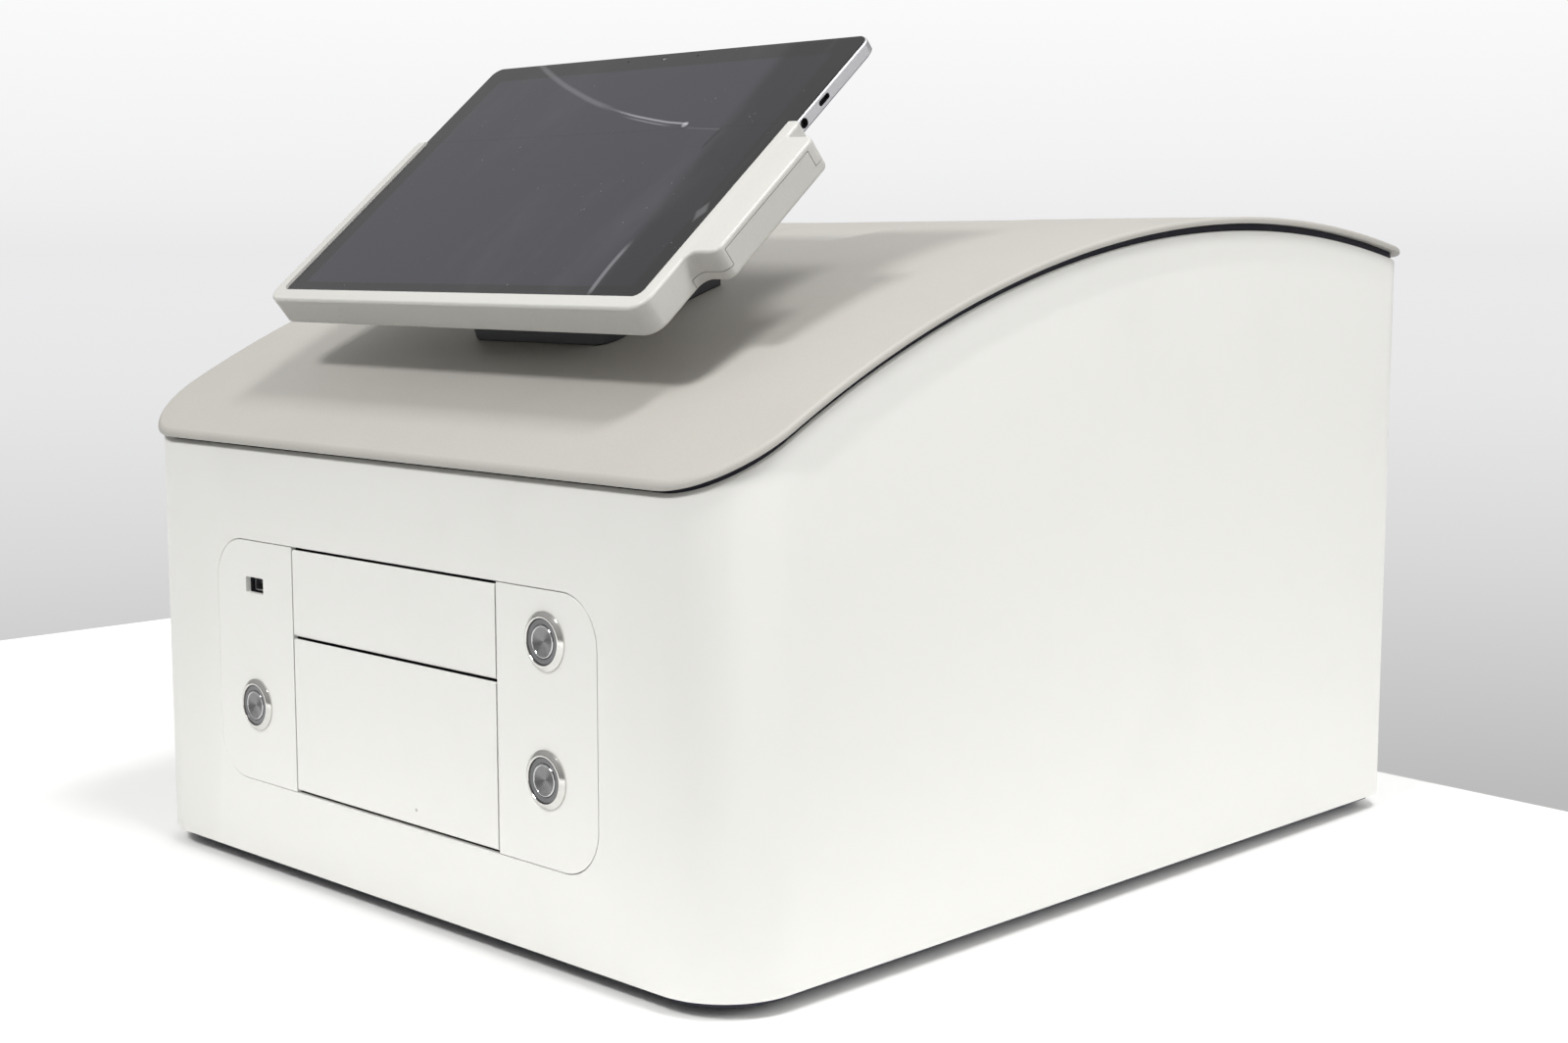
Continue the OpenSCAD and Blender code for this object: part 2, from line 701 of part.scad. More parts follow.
module side_frame(side) {
    slot_z = side > 0 ? source_floor_z : target_floor_z;
    clamp_z = slot_z + carrier_t / 2 + clamp_rise;
    pulley_z = clamp_z + belt_mid_r;
    slot_y0 = carriage_y + carriage_l / 2 - clamp_l - drawer_travel;
    slot_y1 = carriage_y + carriage_l / 2 + clamp_l;
    mid_z = (target_floor_z + source_floor_z) / 2 + carrier_t / 2;
    color([0.72, 0.73, 0.75]) {
        difference() {
            along_x(side > 0 ? frame_x : -frame_x - frame_t, 0, 0) linear_extrude(frame_t)
                polygon([[inner_y, deck_top], [frame_end_y, deck_top], [frame_end_y, frame_top_z - 30],
                    [frame_end_y - 30, frame_top_z], [inner_y, frame_top_z]]);
            along_x(side * (frame_x + frame_t / 2) - frame_t, (inner_y + frame_end_y) / 2 + 30, mid_z)
                linear_extrude(2 * frame_t) round_rect_mid(110, 34, 8);
            along_x(side * (frame_x + frame_t / 2) - frame_t, inner_y + 60, mid_z)
                linear_extrude(2 * frame_t) round_rect_mid(84, 34, 8);
            along_x(side * (frame_x + frame_t / 2) - frame_t, (slot_y0 + slot_y1) / 2, clamp_z)
                linear_extrude(2 * frame_t) square([slot_y1 - slot_y0, clamp_h + 1.2], center = true);
            along_x(side * (frame_x + frame_t / 2) - frame_t, drive_y, pulley_z)
                cylinder(h = 2 * frame_t, r = 11.3);
        }
        // Foot that bolts to the deck
        difference() {
            box(side > 0 ? frame_x + frame_t : -frame_x - frame_t - 16,
                side > 0 ? frame_x + frame_t + 16 : -frame_x - frame_t,
                inner_y + 10, frame_end_y - 10, deck_top, deck_top + 5);
            for (i = [0:3]) translate([side * (frame_x + frame_t + 9),
                inner_y + 30 + i * (frame_end_y - inner_y - 60) / 3, deck_top - cut])
                cylinder(h = 5 + 2 * cut, r = 2.6);
        }
        // Pin that the front idler turns on
        along_x(side > 0 ? frame_x + frame_t : -belt_x - belt_w - 2, idler_y, pulley_z)
            cylinder(h = belt_x + belt_w + 2 - frame_x - frame_t, r = idler_pin_d / 2);
    }
}

module side_frame_left() {
    side_frame(-1);
}

module side_frame_right() {
    side_frame(1);
}

// Two rails for each drawer and the one that the head rides on
module slide_rails() {
    color([0.62, 0.63, 0.65]) {
        for (z0 = [source_floor_z, target_floor_z], side = [-1, 1]) {
            z = z0 + carrier_t / 2;
            box(side > 0 ? frame_x - rail_h : -frame_x, side > 0 ? frame_x : -frame_x + rail_h,
                inner_y + 1, rail_end_y, z - rail_w / 2, z + rail_w / 2);
        }
        box(-frame_x + 6, frame_x - 6, bridge_y - rail_h, bridge_y,
            head_rail_z - rail_w / 2, head_rail_z + rail_w / 2);
    }
}

// ---- Drawers -------------------------------------------------------------------

// A flat front with chamfered upper and lower edge
module drawer_front(z, h) {
    c = front_chamfer;
    color([0.94, 0.94, 0.92]) along_x(-drawer_w / 2, 0, 0) linear_extrude(drawer_w)
        polygon([[front_y, z + c], [front_y + c, z], [front_y + front_t, z],
            [front_y + front_t, z + h], [front_y + c, z + h], [front_y, z + h - c]]);
}

module source_drawer_front() {
    drawer_front(upper_front_z, upper_front_h);
}

module target_drawer_front() {
    drawer_front(lower_front_z, lower_front_h);
}

// Four corners that locate a microplate
module nest_corners(z, h) {
    half_l = plate_l / 2 + plate_play;
    half_w = plate_w / 2 + plate_play;
    t = 3;
    arm = 14;
    for (sx = [-1, 1], sy = [-1, 1])
        translate([sx * half_l, nest_y + sy * half_w, z]) {
            translate([sx > 0 ? 0 : -t, sy > 0 ? -arm : -t, 0]) cube([t, arm + t, h]);
            translate([sx > 0 ? -arm : -t, sy > 0 ? 0 : -t, 0]) cube([arm + t, t, h]);
        }
}

// A drawer's floor with its front flange, gussets and rear cross-beam; a windowed
// floor lets the droplets fall through
module carrier(floor_z, flange_top, windowed) {
    y0 = front_y + front_t;
    wide_y = carriage_y - 6;
    rear = carriage_y + carriage_l;
    color([0.3, 0.31, 0.33]) {
        difference() {
            translate([0, 0, floor_z]) linear_extrude(carrier_t) polygon([[-carrier_half_w, y0],
                [carrier_half_w, y0], [carrier_half_w, wide_y - 8], [carriage_in_x, wide_y],
                [carriage_in_x, rear], [-carriage_in_x, rear], [-carriage_in_x, wide_y],
                [-carrier_half_w, wide_y - 8]]);
            if (windowed) translate([0, nest_y, floor_z - cut]) linear_extrude(carrier_t + 2 * cut)
                round_rect_mid(plate_l - 8, plate_w - 8, 5);
            translate([0, (wide_y + rear) / 2 + 4, floor_z - cut]) linear_extrude(carrier_t + 2 * cut)
                round_rect_mid(132, rear - wide_y - 24, 6);
        }
        nest_corners(floor_z + carrier_t, nest_corner_h);
        box(-carrier_half_w, carrier_half_w, y0, y0 + drawer_flange_t, floor_z + carrier_t, flange_top);
        for (side = [-1, 1]) along_x(side > 0 ? carrier_half_w - 4 : -carrier_half_w, 0, 0)
            linear_extrude(4) polygon([[y0 + drawer_flange_t, floor_z + carrier_t],
                [y0 + drawer_flange_t + 10, floor_z + carrier_t], [y0 + drawer_flange_t, flange_top - 4]]);
    }
}

module source_carrier() {
    carrier(source_floor_z, upper_front_z + upper_front_h - 4, true);
}

module target_carrier() {
    carrier(target_floor_z, lower_front_z + lower_front_h - 6, false);
}

// Carriage blocks of one drawer, and the arm that grips the belt on the driven side
module carriages(floor_z, driven) {
    z = floor_z + carrier_t / 2;
    clamp_z = z + clamp_rise;
    arm_x = belt_x + belt_w + 1.5;
    color([0.5, 0.51, 0.53]) for (side = [-1, 1]) {
        difference() {
            box(side > 0 ? carriage_in_x : -carriage_out_x, side > 0 ? carriage_out_x : -carriage_in_x,
                carriage_y, carriage_y + carriage_l, z - carriage_w / 2, z + carriage_w / 2);
            box(side > 0 ? frame_x - rail_h - rail_play : -carriage_out_x - cut,
                side > 0 ? carriage_out_x + cut : -frame_x + rail_h + rail_play,
                carriage_y - cut, carriage_y + carriage_l + cut,
                z - rail_w / 2 - rail_play, z + rail_w / 2 + rail_play);
        }
        if (side == driven) difference() {
            box(side > 0 ? carriage_out_x : -arm_x, side > 0 ? arm_x : -carriage_out_x,
                carriage_y + carriage_l / 2 - clamp_l / 2, carriage_y + carriage_l / 2 + clamp_l / 2,
                clamp_z - clamp_h / 2, clamp_z + clamp_h / 2);
            box(side > 0 ? belt_x - 0.5 : -arm_x - cut, side > 0 ? arm_x + cut : -belt_x + 0.5,
                carriage_y, carriage_y + carriage_l, clamp_z - belt_t / 2 - 0.3, clamp_z + belt_t / 2 + 0.3);
        }
    }
}

module source_carriages() {
    carriages(source_floor_z, 1);
}

module target_carriages() {
    carriages(target_floor_z, -1);
}

// ---- Belt drives ---------------------------------------------------------------

function drive_z(floor_z) = floor_z + carrier_t / 2 + clamp_rise + belt_mid_r;

// A round-cornered motor with its raised boss; the shaft turns with the pulley
module stepper_motor(side, z) {
    along_x(side > 0 ? frame_x - motor_l : -frame_x, drive_y, z) difference() {
        union() {
            color([0.15, 0.15, 0.16]) translate([0, 0, side > 0 ? 0 : 9]) linear_extrude(motor_l - 9)
                round_rect_mid(motor_w, motor_w, 4);
            color([0.7, 0.7, 0.72]) translate([0, 0, side > 0 ? motor_l - 9 : 0]) linear_extrude(9)
                round_rect_mid(motor_w, motor_w, 6);
            color([0.7, 0.7, 0.72]) translate([0, 0, side > 0 ? motor_l - cut : -2])
                cylinder(h = 2 + cut, r = 11);
        }
        translate([0, 0, side > 0 ? 12 : -3]) cylinder(h = motor_l - 9, r = motor_shaft_d / 2 + 0.05);
    }
}

module stepper_motors() {
    stepper_motor(1, drive_z(source_floor_z));
    stepper_motor(-1, drive_z(target_floor_z));
}

// A flanged, grooved belt pulley about local z, from z = 0 outwards
module belt_pulley(bore_r, shaft_l) {
    flange = 0.9;
    gap = 0.2;
    w = belt_w + 2 * gap;
    teeth = 20;
    groove_r = 0.55;
    color([0.8, 0.8, 0.82]) difference() {
        union() {
            cylinder(h = flange, r = belt_out_r + 0.5);
            translate([0, 0, flange]) linear_extrude(w) difference() {
                circle(pulley_r);
                for (i = [0:teeth - 1]) rotate((i + 0.5) * 360 / teeth) translate([pulley_r, 0])
                    circle(groove_r, $fn = 16);
            }
            translate([0, 0, w + flange]) cylinder(h = flange, r = belt_out_r + 0.5);
        }
        if (bore_r > 0) translate([0, 0, -cut]) cylinder(h = w + 2 * flange + 2 * cut, r = bore_r);
    }
    if (shaft_l > 0) color([0.85, 0.85, 0.86]) translate([0, 0, -shaft_l])
        cylinder(h = shaft_l, r = motor_shaft_d / 2);
}

module at_pulley(side, y, floor_z) {
    x0 = belt_x - 0.2 - 0.9;
    translate([side * x0, y, drive_z(floor_z)]) rotate([90, 0, side > 0 ? 90 : -90]) children();
}

module source_drive_pulley() {
    at_pulley(1, drive_y, source_floor_z) belt_pulley(0, belt_x - frame_x + 25);
}

module target_drive_pulley() {
    at_pulley(-1, drive_y, target_floor_z) belt_pulley(0, belt_x - frame_x + 25);
}

module source_idler() {
    at_pulley(1, idler_y, source_floor_z) belt_pulley(idler_pin_d / 2 + 0.06, 0);
}

module target_idler() {
    at_pulley(-1, idler_y, target_floor_z) belt_pulley(idler_pin_d / 2 + 0.06, 0);
}

module belt_outline(r) {
    translate([idler_y, 0]) circle(r, $fn = 64);
    translate([drive_y, 0]) circle(r, $fn = 64);
    translate([idler_y, -r]) square([drive_y - idler_y, 2 * r]);
}

module belt(side, floor_z) {
    color([0.07, 0.07, 0.07])
        along_x(side > 0 ? belt_x : -belt_x - belt_w, 0, drive_z(floor_z)) difference() {
            linear_extrude(belt_w) belt_outline(belt_out_r);
            translate([0, 0, -cut]) linear_extrude(belt_w + 2 * cut) belt_outline(belt_in_r);
        }
}

module source_belt() {
    belt(1, source_floor_z);
}

module target_belt() {
    belt(-1, target_floor_z);
}

// ---- Dispensing head -----------------------------------------------------------

module head_bridge() {
    half = frame_x + frame_t;
    gusset_l = 34;
    color([0.72, 0.73, 0.75]) {
        difference() {
            box(-half, half, bridge_y, bridge_y + bridge_t, frame_top_z, frame_top_z + bridge_h);
            for (x = [-60, 0, 60]) translate([x, bridge_y + bridge_t + cut, frame_top_z + 8])
                rotate([90, 0, 0]) cylinder(h = bridge_t + 2 * cut, r = 2.1);
        }
        for (side = [-1, 1]) along_x(side > 0 ? frame_x : -half, 0, 0) linear_extrude(frame_t)
            polygon([[bridge_y + bridge_t / 2, frame_top_z], [bridge_y + bridge_t + gusset_l, frame_top_z],
                [bridge_y + bridge_t, frame_top_z + bridge_h - 4],
                [bridge_y + bridge_t / 2, frame_top_z + bridge_h - 4]]);
    }
}

// The block on the bridge's rail with the upright plate that guides the press slide
module head_carriage() {
    half = 25;
    color([0.5, 0.51, 0.53]) {
        difference() {
            box(-half, half, head_block_y, bridge_y - 4, head_rail_z - 14, head_rail_z + 14);
            box(-half - cut, half + cut, bridge_y - rail_h - rail_play, bridge_y,
                head_rail_z - rail_w / 2 - rail_play, head_rail_z + rail_w / 2 + rail_play);
        }
        box(-22, 22, guide_y, head_block_y, manifold_top + 3, head_rail_z + 16);
        difference() {
            box(-13, 13, press_y - 9, guide_y, head_rail_z + 12, head_rail_z + 16);
            translate([0, press_y, head_rail_z]) cylinder(h = 30, r = press_rod_d / 2 + 0.05);
        }
    }
}

module press_cylinder() {
    z = head_rail_z + 16;
    color([0.8, 0.81, 0.83]) difference() {
        union() {
            translate([0, press_y, z]) cylinder(h = 22, r = 8);
            translate([0, press_y, z]) cylinder(h = 3, r = 8.8);
            translate([0, press_y, z + 19]) cylinder(h = 3, r = 8.8);
            translate([0, press_y, z + 22]) cylinder(h = 3, r = 4);
        }
        translate([0, press_y, z - cut]) cylinder(h = 19, r = press_rod_d / 2 + 0.05);
    }
}

// The manifold with its row of nozzles, the slide block behind it and the rod above
module nozzle_manifold() {
    block_top = head_rail_z + 4;
    color([0.82, 0.83, 0.85]) {
        difference() {
            box(-manifold_w / 2, manifold_w / 2, nest_y - manifold_l / 2, nest_y + manifold_l / 2,
                manifold_z, manifold_top);
            translate([0, nest_y - manifold_l / 2 - cut, manifold_z + manifold_h / 2]) rotate([-90, 0, 0])
                cylinder(h = manifold_l - 8, r = 3);
        }
        box(-12, 12, press_y - press_block_t / 2, press_y + press_block_t / 2, manifold_top, block_top);
        for (i = [0:nozzle_count - 1])
            translate([0, nest_y + (i - (nozzle_count - 1) / 2) * nozzle_pitch, nozzle_tip_z]) difference() {
                union() {
                    cylinder(h = nozzle_l, r = nozzle_d / 2, $fn = 32);
                    translate([0, 0, nozzle_l - 3]) cylinder(h = 3, r = nozzle_d / 2 + 1.2, $fn = 32);
                }
                translate([0, 0, -cut]) cylinder(h = nozzle_l, r = nozzle_bore / 2, $fn = 24);
            }
        translate([0, press_y, block_top]) cylinder(h = 22, r = press_rod_d / 2);
    }
}

// Eight solenoid valves in two rows on the manifold, each with its coil and contacts
module valve_bank() {
    size = 11;
    pitch = 12.5;
    first_y = nest_y - manifold_l / 2 + size / 2 + 1;
    for (side = [-1, 1], i = [0:3]) translate([side * 7, first_y + i * pitch, manifold_top]) {
        color([0.2, 0.21, 0.23]) translate([-size / 2, -size / 2, 0]) cube([size, size, 18]);
        color([0.75, 0.76, 0.78]) translate([0, 0, 18]) cylinder(h = 4, r = 4, $fn = 32);
        color([0.85, 0.7, 0.3]) for (x = [-2.2, 1.4]) translate([x, -3.8, 18]) cube([0.8, 1.6, 6]);
    }
}

// ---- Services behind the mechanism ---------------------------------------------

module air_reservoir() {
    r = reservoir_d / 2;
    end_taper = 6;
    fitting_l = 10;
    l = service_l - 2 * fitting_l;
    z = deck_top + 8 + r;
    saddle_t = 12;
    saddle_w = 0.86 * reservoir_d;
    color([0.75, 0.76, 0.78]) {
        translate([0, service_y, z]) rotate([-90, 0, 0]) rotate_extrude($fn = 72)
            polygon([[0, 0], [r - end_taper, 0], [r, end_taper], [r, l - end_taper],
                [r - end_taper, l], [0, l]]);
        translate([0, service_y + l - cut, z]) rotate([-90, 0, 0])
            cylinder(h = fitting_l + cut, r = 6);
    }
    color([0.2, 0.2, 0.22]) for (y = [service_y + 0.18 * l, service_y + 0.75 * l]) difference() {
        box(-saddle_w / 2, saddle_w / 2, y, y + saddle_t, deck_top, z);
        translate([0, y - cut, z]) rotate([-90, 0, 0]) cylinder(h = saddle_t + 2 * cut, r = r);
    }
}

// A motor and a finned head on one base plate, with the outlet on the head's side
module air_pump() {
    x = pump_x;
    y = service_y;
    base_w = pump_d + 8;
    plate_t = 6;
    head_l = 34;
    motor_z = deck_top + plate_t + 2 + pump_d / 2;
    motor_end = y + 1.3 * pump_d;
    head_y = motor_end;
    head_top = motor_z + pump_d / 2 + 2;
    fin_h = 8;
    fin_pitch = 6;
    color([0.18, 0.18, 0.2])
        box(x - base_w / 2, x + base_w / 2, y - 4, head_y + head_l + 4, deck_top, deck_top + plate_t);
    color([0.25, 0.25, 0.27]) {
        translate([x, y, motor_z]) rotate([-90, 0, 0]) cylinder(h = motor_end - y + cut, r = pump_d / 2);
        box(x - 0.3 * pump_d, x + 0.3 * pump_d, y + 6, motor_end - 6,
            deck_top + plate_t, motor_z - 0.4 * pump_d);
    }
    color([0.7, 0.7, 0.72]) {
        box(x - base_w / 2 + 2, x + base_w / 2 - 2, head_y, head_y + head_l, deck_top + plate_t, head_top);
        for (i = [0:4]) box(x - pump_d / 2, x + pump_d / 2, head_y + 3 + i * fin_pitch,
            head_y + 6 + i * fin_pitch, head_top - cut, head_top + fin_h);
    }
    color([0.8, 0.7, 0.35]) translate([x + base_w / 2 - 2 - cut, head_y + head_l / 2, motor_z + 10])
        rotate([0, 90, 0]) cylinder(h = 12 + cut, r = 4);
}

// A folded metal case with round vents, open at the front over its terminal block
module power_supply() {
    x1 = housing_w / 2 - wall - service_side;
    x0 = x1 - supply_w;
    y0 = service_y;
    z1 = deck_top + supply_h;
    case_t = 1.5;
    bay_l = 26;
    vent_r = 3.2;
    vent_pitch = [12, 16];
    vents_x = floor((supply_w - 22) / vent_pitch[0]);
    vents_y = floor((service_l - 2 * bay_l) / vent_pitch[1]);
    color([0.75, 0.76, 0.77]) difference() {
        box(x0, x1, y0, y0 + service_l, deck_top, z1);
        box(x0 + case_t, x1 - case_t, y0 - cut, y0 + bay_l, deck_top + case_t, z1 + cut);
        for (i = [0:vents_x - 1], j = [0:vents_y - 1])
            translate([x0 + 16 + i * vent_pitch[0], y0 + 2 * bay_l - 2 + j * vent_pitch[1], z1 - case_t])
                cylinder(h = case_t + cut, r = vent_r, $fn = 24);
    }
    color([0.1, 0.1, 0.11])
        box(x0 + 8, x1 - 8, y0 + 4, y0 + bay_l - 6, deck_top + case_t, deck_top + case_t + 14.5);
}

// A board on four pillars with its processor, drivers, connectors and capacitors
module control_board() {
    x0 = -(housing_w / 2 - wall - service_side);
    x1 = x0 + board_w;
    y0 = service_y;
    l = service_l - 30;
    y1 = y0 + l;
    z = deck_top + board_rise;
    board_t = 1.6;
    top = z + board_t;
    hole_inset = 6;
    screw_r = 1.7;
    pillar_r = 3.5;
    holes_x = [x0 + hole_inset, x1 - hole_inset];
    holes_y = [y0 + hole_inset, y1 - hole_inset];
    color([0.12, 0.35, 0.2]) difference() {
        box(x0, x1, y0, y1, z, top);
        for (x = holes_x, y = holes_y) translate([x, y, z - cut])
            cylinder(h = board_t + 2 * cut, r = screw_r);
    }
    color([0.8, 0.8, 0.8]) for (x = holes_x, y = holes_y) translate([x, y, deck_top]) difference() {
        cylinder(h = board_rise, r = pillar_r, $fn = 6);
        translate([0, 0, 2]) cylinder(h = board_rise, r = screw_r);
    }
    color([0.1, 0.1, 0.1]) {
        chip_y = y0 + 0.38 * l;
        box(x0 + 30, x0 + 54, chip_y, chip_y + 24, top, top + 2.8);
        driver_y = y0 + 0.65 * l;
        for (i = [0:3]) box(x0 + 14 + i * 18, x0 + 26 + i * 18, driver_y, driver_y + 18, top, top + 7.4);
        for (i = [0:5]) box(x0 + 10 + i * 13, x0 + 20 + i * 13, y0 + 3, y0 + 11, top, top + 11.4);
    }
    color([0.3, 0.35, 0.6]) for (i = [0:3]) translate([x1 - 14, y0 + 0.19 * l + i * 12, top])
        cylinder(h = 16, r = 5);
}

// ---- Rear ----------------------------------------------------------------------

module rear_panel() {
    lap = 8;
    w = rear_open_w + 2 * lap;
    color([0.9, 0.9, 0.88]) difference() {
        box(-w / 2, w / 2, rear_y - wall - rear_panel_t, rear_y - wall,
            rear_open_z - lap, rear_open_z + rear_open_h + lap);
        at_rear(fan_x, fan_z) translate([0, 0, -rear_panel_t - cut]) {
            cylinder(h = rear_panel_t + 2 * cut, r = fan_w / 2 - 2);
            for (x = [-1, 1], y = [-1, 1]) translate([x, y] * (fan_w / 2 - 4.3))
                cylinder(h = rear_panel_t + 2 * cut, r = 2.2);
        }
        at_rear(inlet_x, sockets_z) translate([0, 0, -rear_panel_t - cut])
            linear_extrude(rear_panel_t + 2 * cut) square([inlet_w, inlet_h], center = true);
        at_rear(switch_x, sockets_z) translate([0, 0, -rear_panel_t - cut])
            linear_extrude(rear_panel_t + 2 * cut) square([switch_w, switch_h], center = true);
        at_rear(network_x, sockets_z) translate([0, 0, -rear_panel_t - cut])
            linear_extrude(rear_panel_t + 2 * cut) square([network_w, network_h], center = true);
        for (i = [-4:4]) at_rear(grille_x, fan_z + i * 10) translate([0, 0, -rear_panel_t - cut])
            linear_extrude(rear_panel_t + 2 * cut) round_rect_mid(90, 4, 1.9);
    }
}

// Frame of the fan with its four struts and the hub that carries the rotor
module fan_housing() {
    t = fan_depth;
    color([0.07, 0.07, 0.08]) at_rear(fan_x, fan_z) translate([0, 0, -rear_panel_t - t]) {
        difference() {
            linear_extrude(t) round_rect_mid(fan_w, fan_w, 4);
            translate([0, 0, -cut]) cylinder(h = t + 2 * cut, r = fan_w / 2 - 2, $fn = 96);
            for (x = [-1, 1], y = [-1, 1]) translate([x * (fan_w / 2 - 4.3), y * (fan_w / 2 - 4.3), -cut])
                cylinder(h = t + 2 * cut, r = 2.2);
        }
        cylinder(h = 3, r = 15);
        for (a = [45:90:315]) rotate(a) translate([14, -1.5, 0]) cube([fan_w / 2 - 15.5, 3, 3]);
        cylinder(h = 12, r = 1.5);
    }
}

module fan_rotor() {
    t = fan_depth;
    hub_r = 15;
    hub_h = t - 6;
    color([0.1, 0.1, 0.11]) at_rear(fan_x, fan_z) translate([0, 0, -rear_panel_t - t + 3.5]) {
        difference() {
            union() {
                cylinder(h = hub_h, r = hub_r);
                for (i = [0:fan_blades - 1]) rotate(i * 360 / fan_blades) translate([hub_r - 1, 0, hub_h / 2])
                    rotate([38, 0, 0]) translate([0, -8, -0.6]) cube([fan_w / 2 - hub_r - 3.4, 16, 1.2]);
            }
            translate([0, 0, -cut]) cylinder(h = 10.5, r = 1.56);
        }
    }
}

// Ring and spoke finger guard with its four eyes
module fan_guard() {
    wire = 0.8;
    color([0.8, 0.8, 0.82]) at_rear(fan_x, fan_z) translate([0, 0, wire]) {
        for (r = [10:7:38]) rotate_extrude($fn = 96) translate([r, 0]) circle(wire, $fn = 16);
        for (a = [45, 135]) rotate(a) translate([-fan_w / 2 * sqrt(2) + 9, 0, 0]) rotate([0, 90, 0])
            cylinder(h = 2 * (fan_w / 2 * sqrt(2) - 9), r = wire * 0.9, $fn = 16);
        for (x = [-1, 1], y = [-1, 1]) translate([x * (fan_w / 2 - 4.3), y * (fan_w / 2 - 4.3), -wire])
            difference() {
                cylinder(h = 1.6, r = 4);
                translate([0, 0, -cut]) cylinder(h = 4, r = 2.2);
            }
    }
}

// Flanged mains inlet with its three blades, and the frame of the switch beside it
module mains_inlet() {
    at_rear(inlet_x, sockets_z) {
        color([0.08, 0.08, 0.09]) difference() {
            union() {
                linear_extrude(2) round_rect_mid(inlet_w + 6, inlet_h + 6, 2);
                translate([0, 0, -22]) linear_extrude(22 + cut)
                    square([inlet_w - 0.4, inlet_h - 0.4], center = true);
            }
            translate([0, 0, -15]) linear_extrude(20) polygon([[-12, -8.25], [12, -8.25], [12, 4.5],
                [8, 8.25], [-8, 8.25], [-12, 4.5]]);
        }
        color([0.8, 0.8, 0.82]) for (p = [[-7, -2.5], [0, 1.5], [7, -2.5]])
            translate([p[0] - 1, p[1] - 2, -15]) cube([2, 4, 13]);
    }
    at_rear(switch_x, sockets_z) color([0.08, 0.08, 0.09]) difference() {
        union() {
            linear_extrude(1.6) round_rect_mid(switch_w + 3.6, switch_h + 3, 1.2);
            translate([0, 0, -16]) linear_extrude(16 + cut)
                square([switch_w - 0.4, switch_h - 0.4], center = true);
        }
        translate([0, 0, -12]) linear_extrude(20) square([switch_w - 3.4, switch_h - 2.6], center = true);
        translate([0, switch_h / 2 - 0.5, -rocker_depth]) rotate([90, 0, 0])
            cylinder(h = switch_h - 1, r = rocker_pin_r + 0.1);
    }
}

// A rocker with two sloping halves, turning about the switch's vertical middle line
// and resting on its off side
module power_rocker() {
    half = (switch_w - 3.4) / 2 - rocker_play;
    h = switch_h - 3.2;
    pin_l = switch_h - 1.4;
    color([0.12, 0.12, 0.13]) at_rear(switch_x, sockets_z) translate([0, 0, -rocker_depth]) {
        translate([0, h / 2, 0]) rotate([0, -rocker_tilt, 0]) rotate([90, 0, 0]) linear_extrude(h)
            polygon([[-half, 5.2], [-half + 1.2, -2], [half - 1.2, -2], [half, 5.2],
                [half - 0.4, 7.1], [0, 5.8], [-half + 0.4, 7.1]]);
        translate([0, pin_l / 2, 0]) rotate([90, 0, 0]) cylinder(h = pin_l, r = rocker_pin_r);
    }
}

module network_port() {
    color([0.7, 0.7, 0.72]) at_rear(network_x, sockets_z) translate([0, 0, -18]) {
        difference() {
            linear_extrude(18.8) square([network_w - 0.4, network_h - 0.4], center = true);
            translate([0, -0.6, 3]) linear_extrude(17) square([12, 8.4], center = true);
            translate([0, 4, 3]) linear_extrude(17) square([6, 3], center = true);
        }
    }
}

// ---- Tablet stand --------------------------------------------------------------

// Local z stands square to the hood at the foot's middle
module at_foot() {
    translate([stand_x, stand_y, stand_z]) rotate([stand_lean, 0, 0]) children();
}

module at_hinge() {
    at_foot() translate([0, 0, hinge_h]) rotate([tablet_tilt - stand_lean, 0, 0]) children();
}

// The tablet's plane: origin at the middle of the glass
module at_glass() {
    at_hinge() translate([0, 0, hinge_to_glass]) children();
}

// A square foot whose underside follows the hood, with the fixed half of the bearing
module stand_foot() {
    color([0.07, 0.07, 0.09]) difference() {
        at_foot() {
            translate([0, 0, -6]) linear_extrude(stand_foot_t + 6)
                round_rect_mid(stand_foot_w, stand_foot_w, stand_foot_r);
            translate([0, 0, stand_foot_t - cut]) cylinder(h = bearing_t + cut, r = bearing_d / 2);
        }
        under_crown(hood_top_r + 0.1);
        at_foot() for (x = [-1, 1], y = [-1, 1])
            translate([x * (stand_foot_w / 2 - 14), y * (stand_foot_w / 2 - 14), stand_foot_t - 4])
                cylinder(h = 8, r = 5);
        at_foot() translate([0, 0, stand_foot_t + bearing_t - 6]) cylinder(h = 8, r = 10 + 0.06);
    }
}

// A curved plate under the hood that spreads the foot's load
module stand_backing_plate() {
    w = stand_foot_w + 16;
    color([0.7, 0.71, 0.73]) difference() {
        intersection() {
            translate([stand_x - w / 2, stand_y - w / 2, crest_z / 2]) cube([w, w, crest_z]);
            under_crown(hood_under_r - seat_gap);
        }
        under_crown(hood_under_r - seat_gap - 3);
    }
}

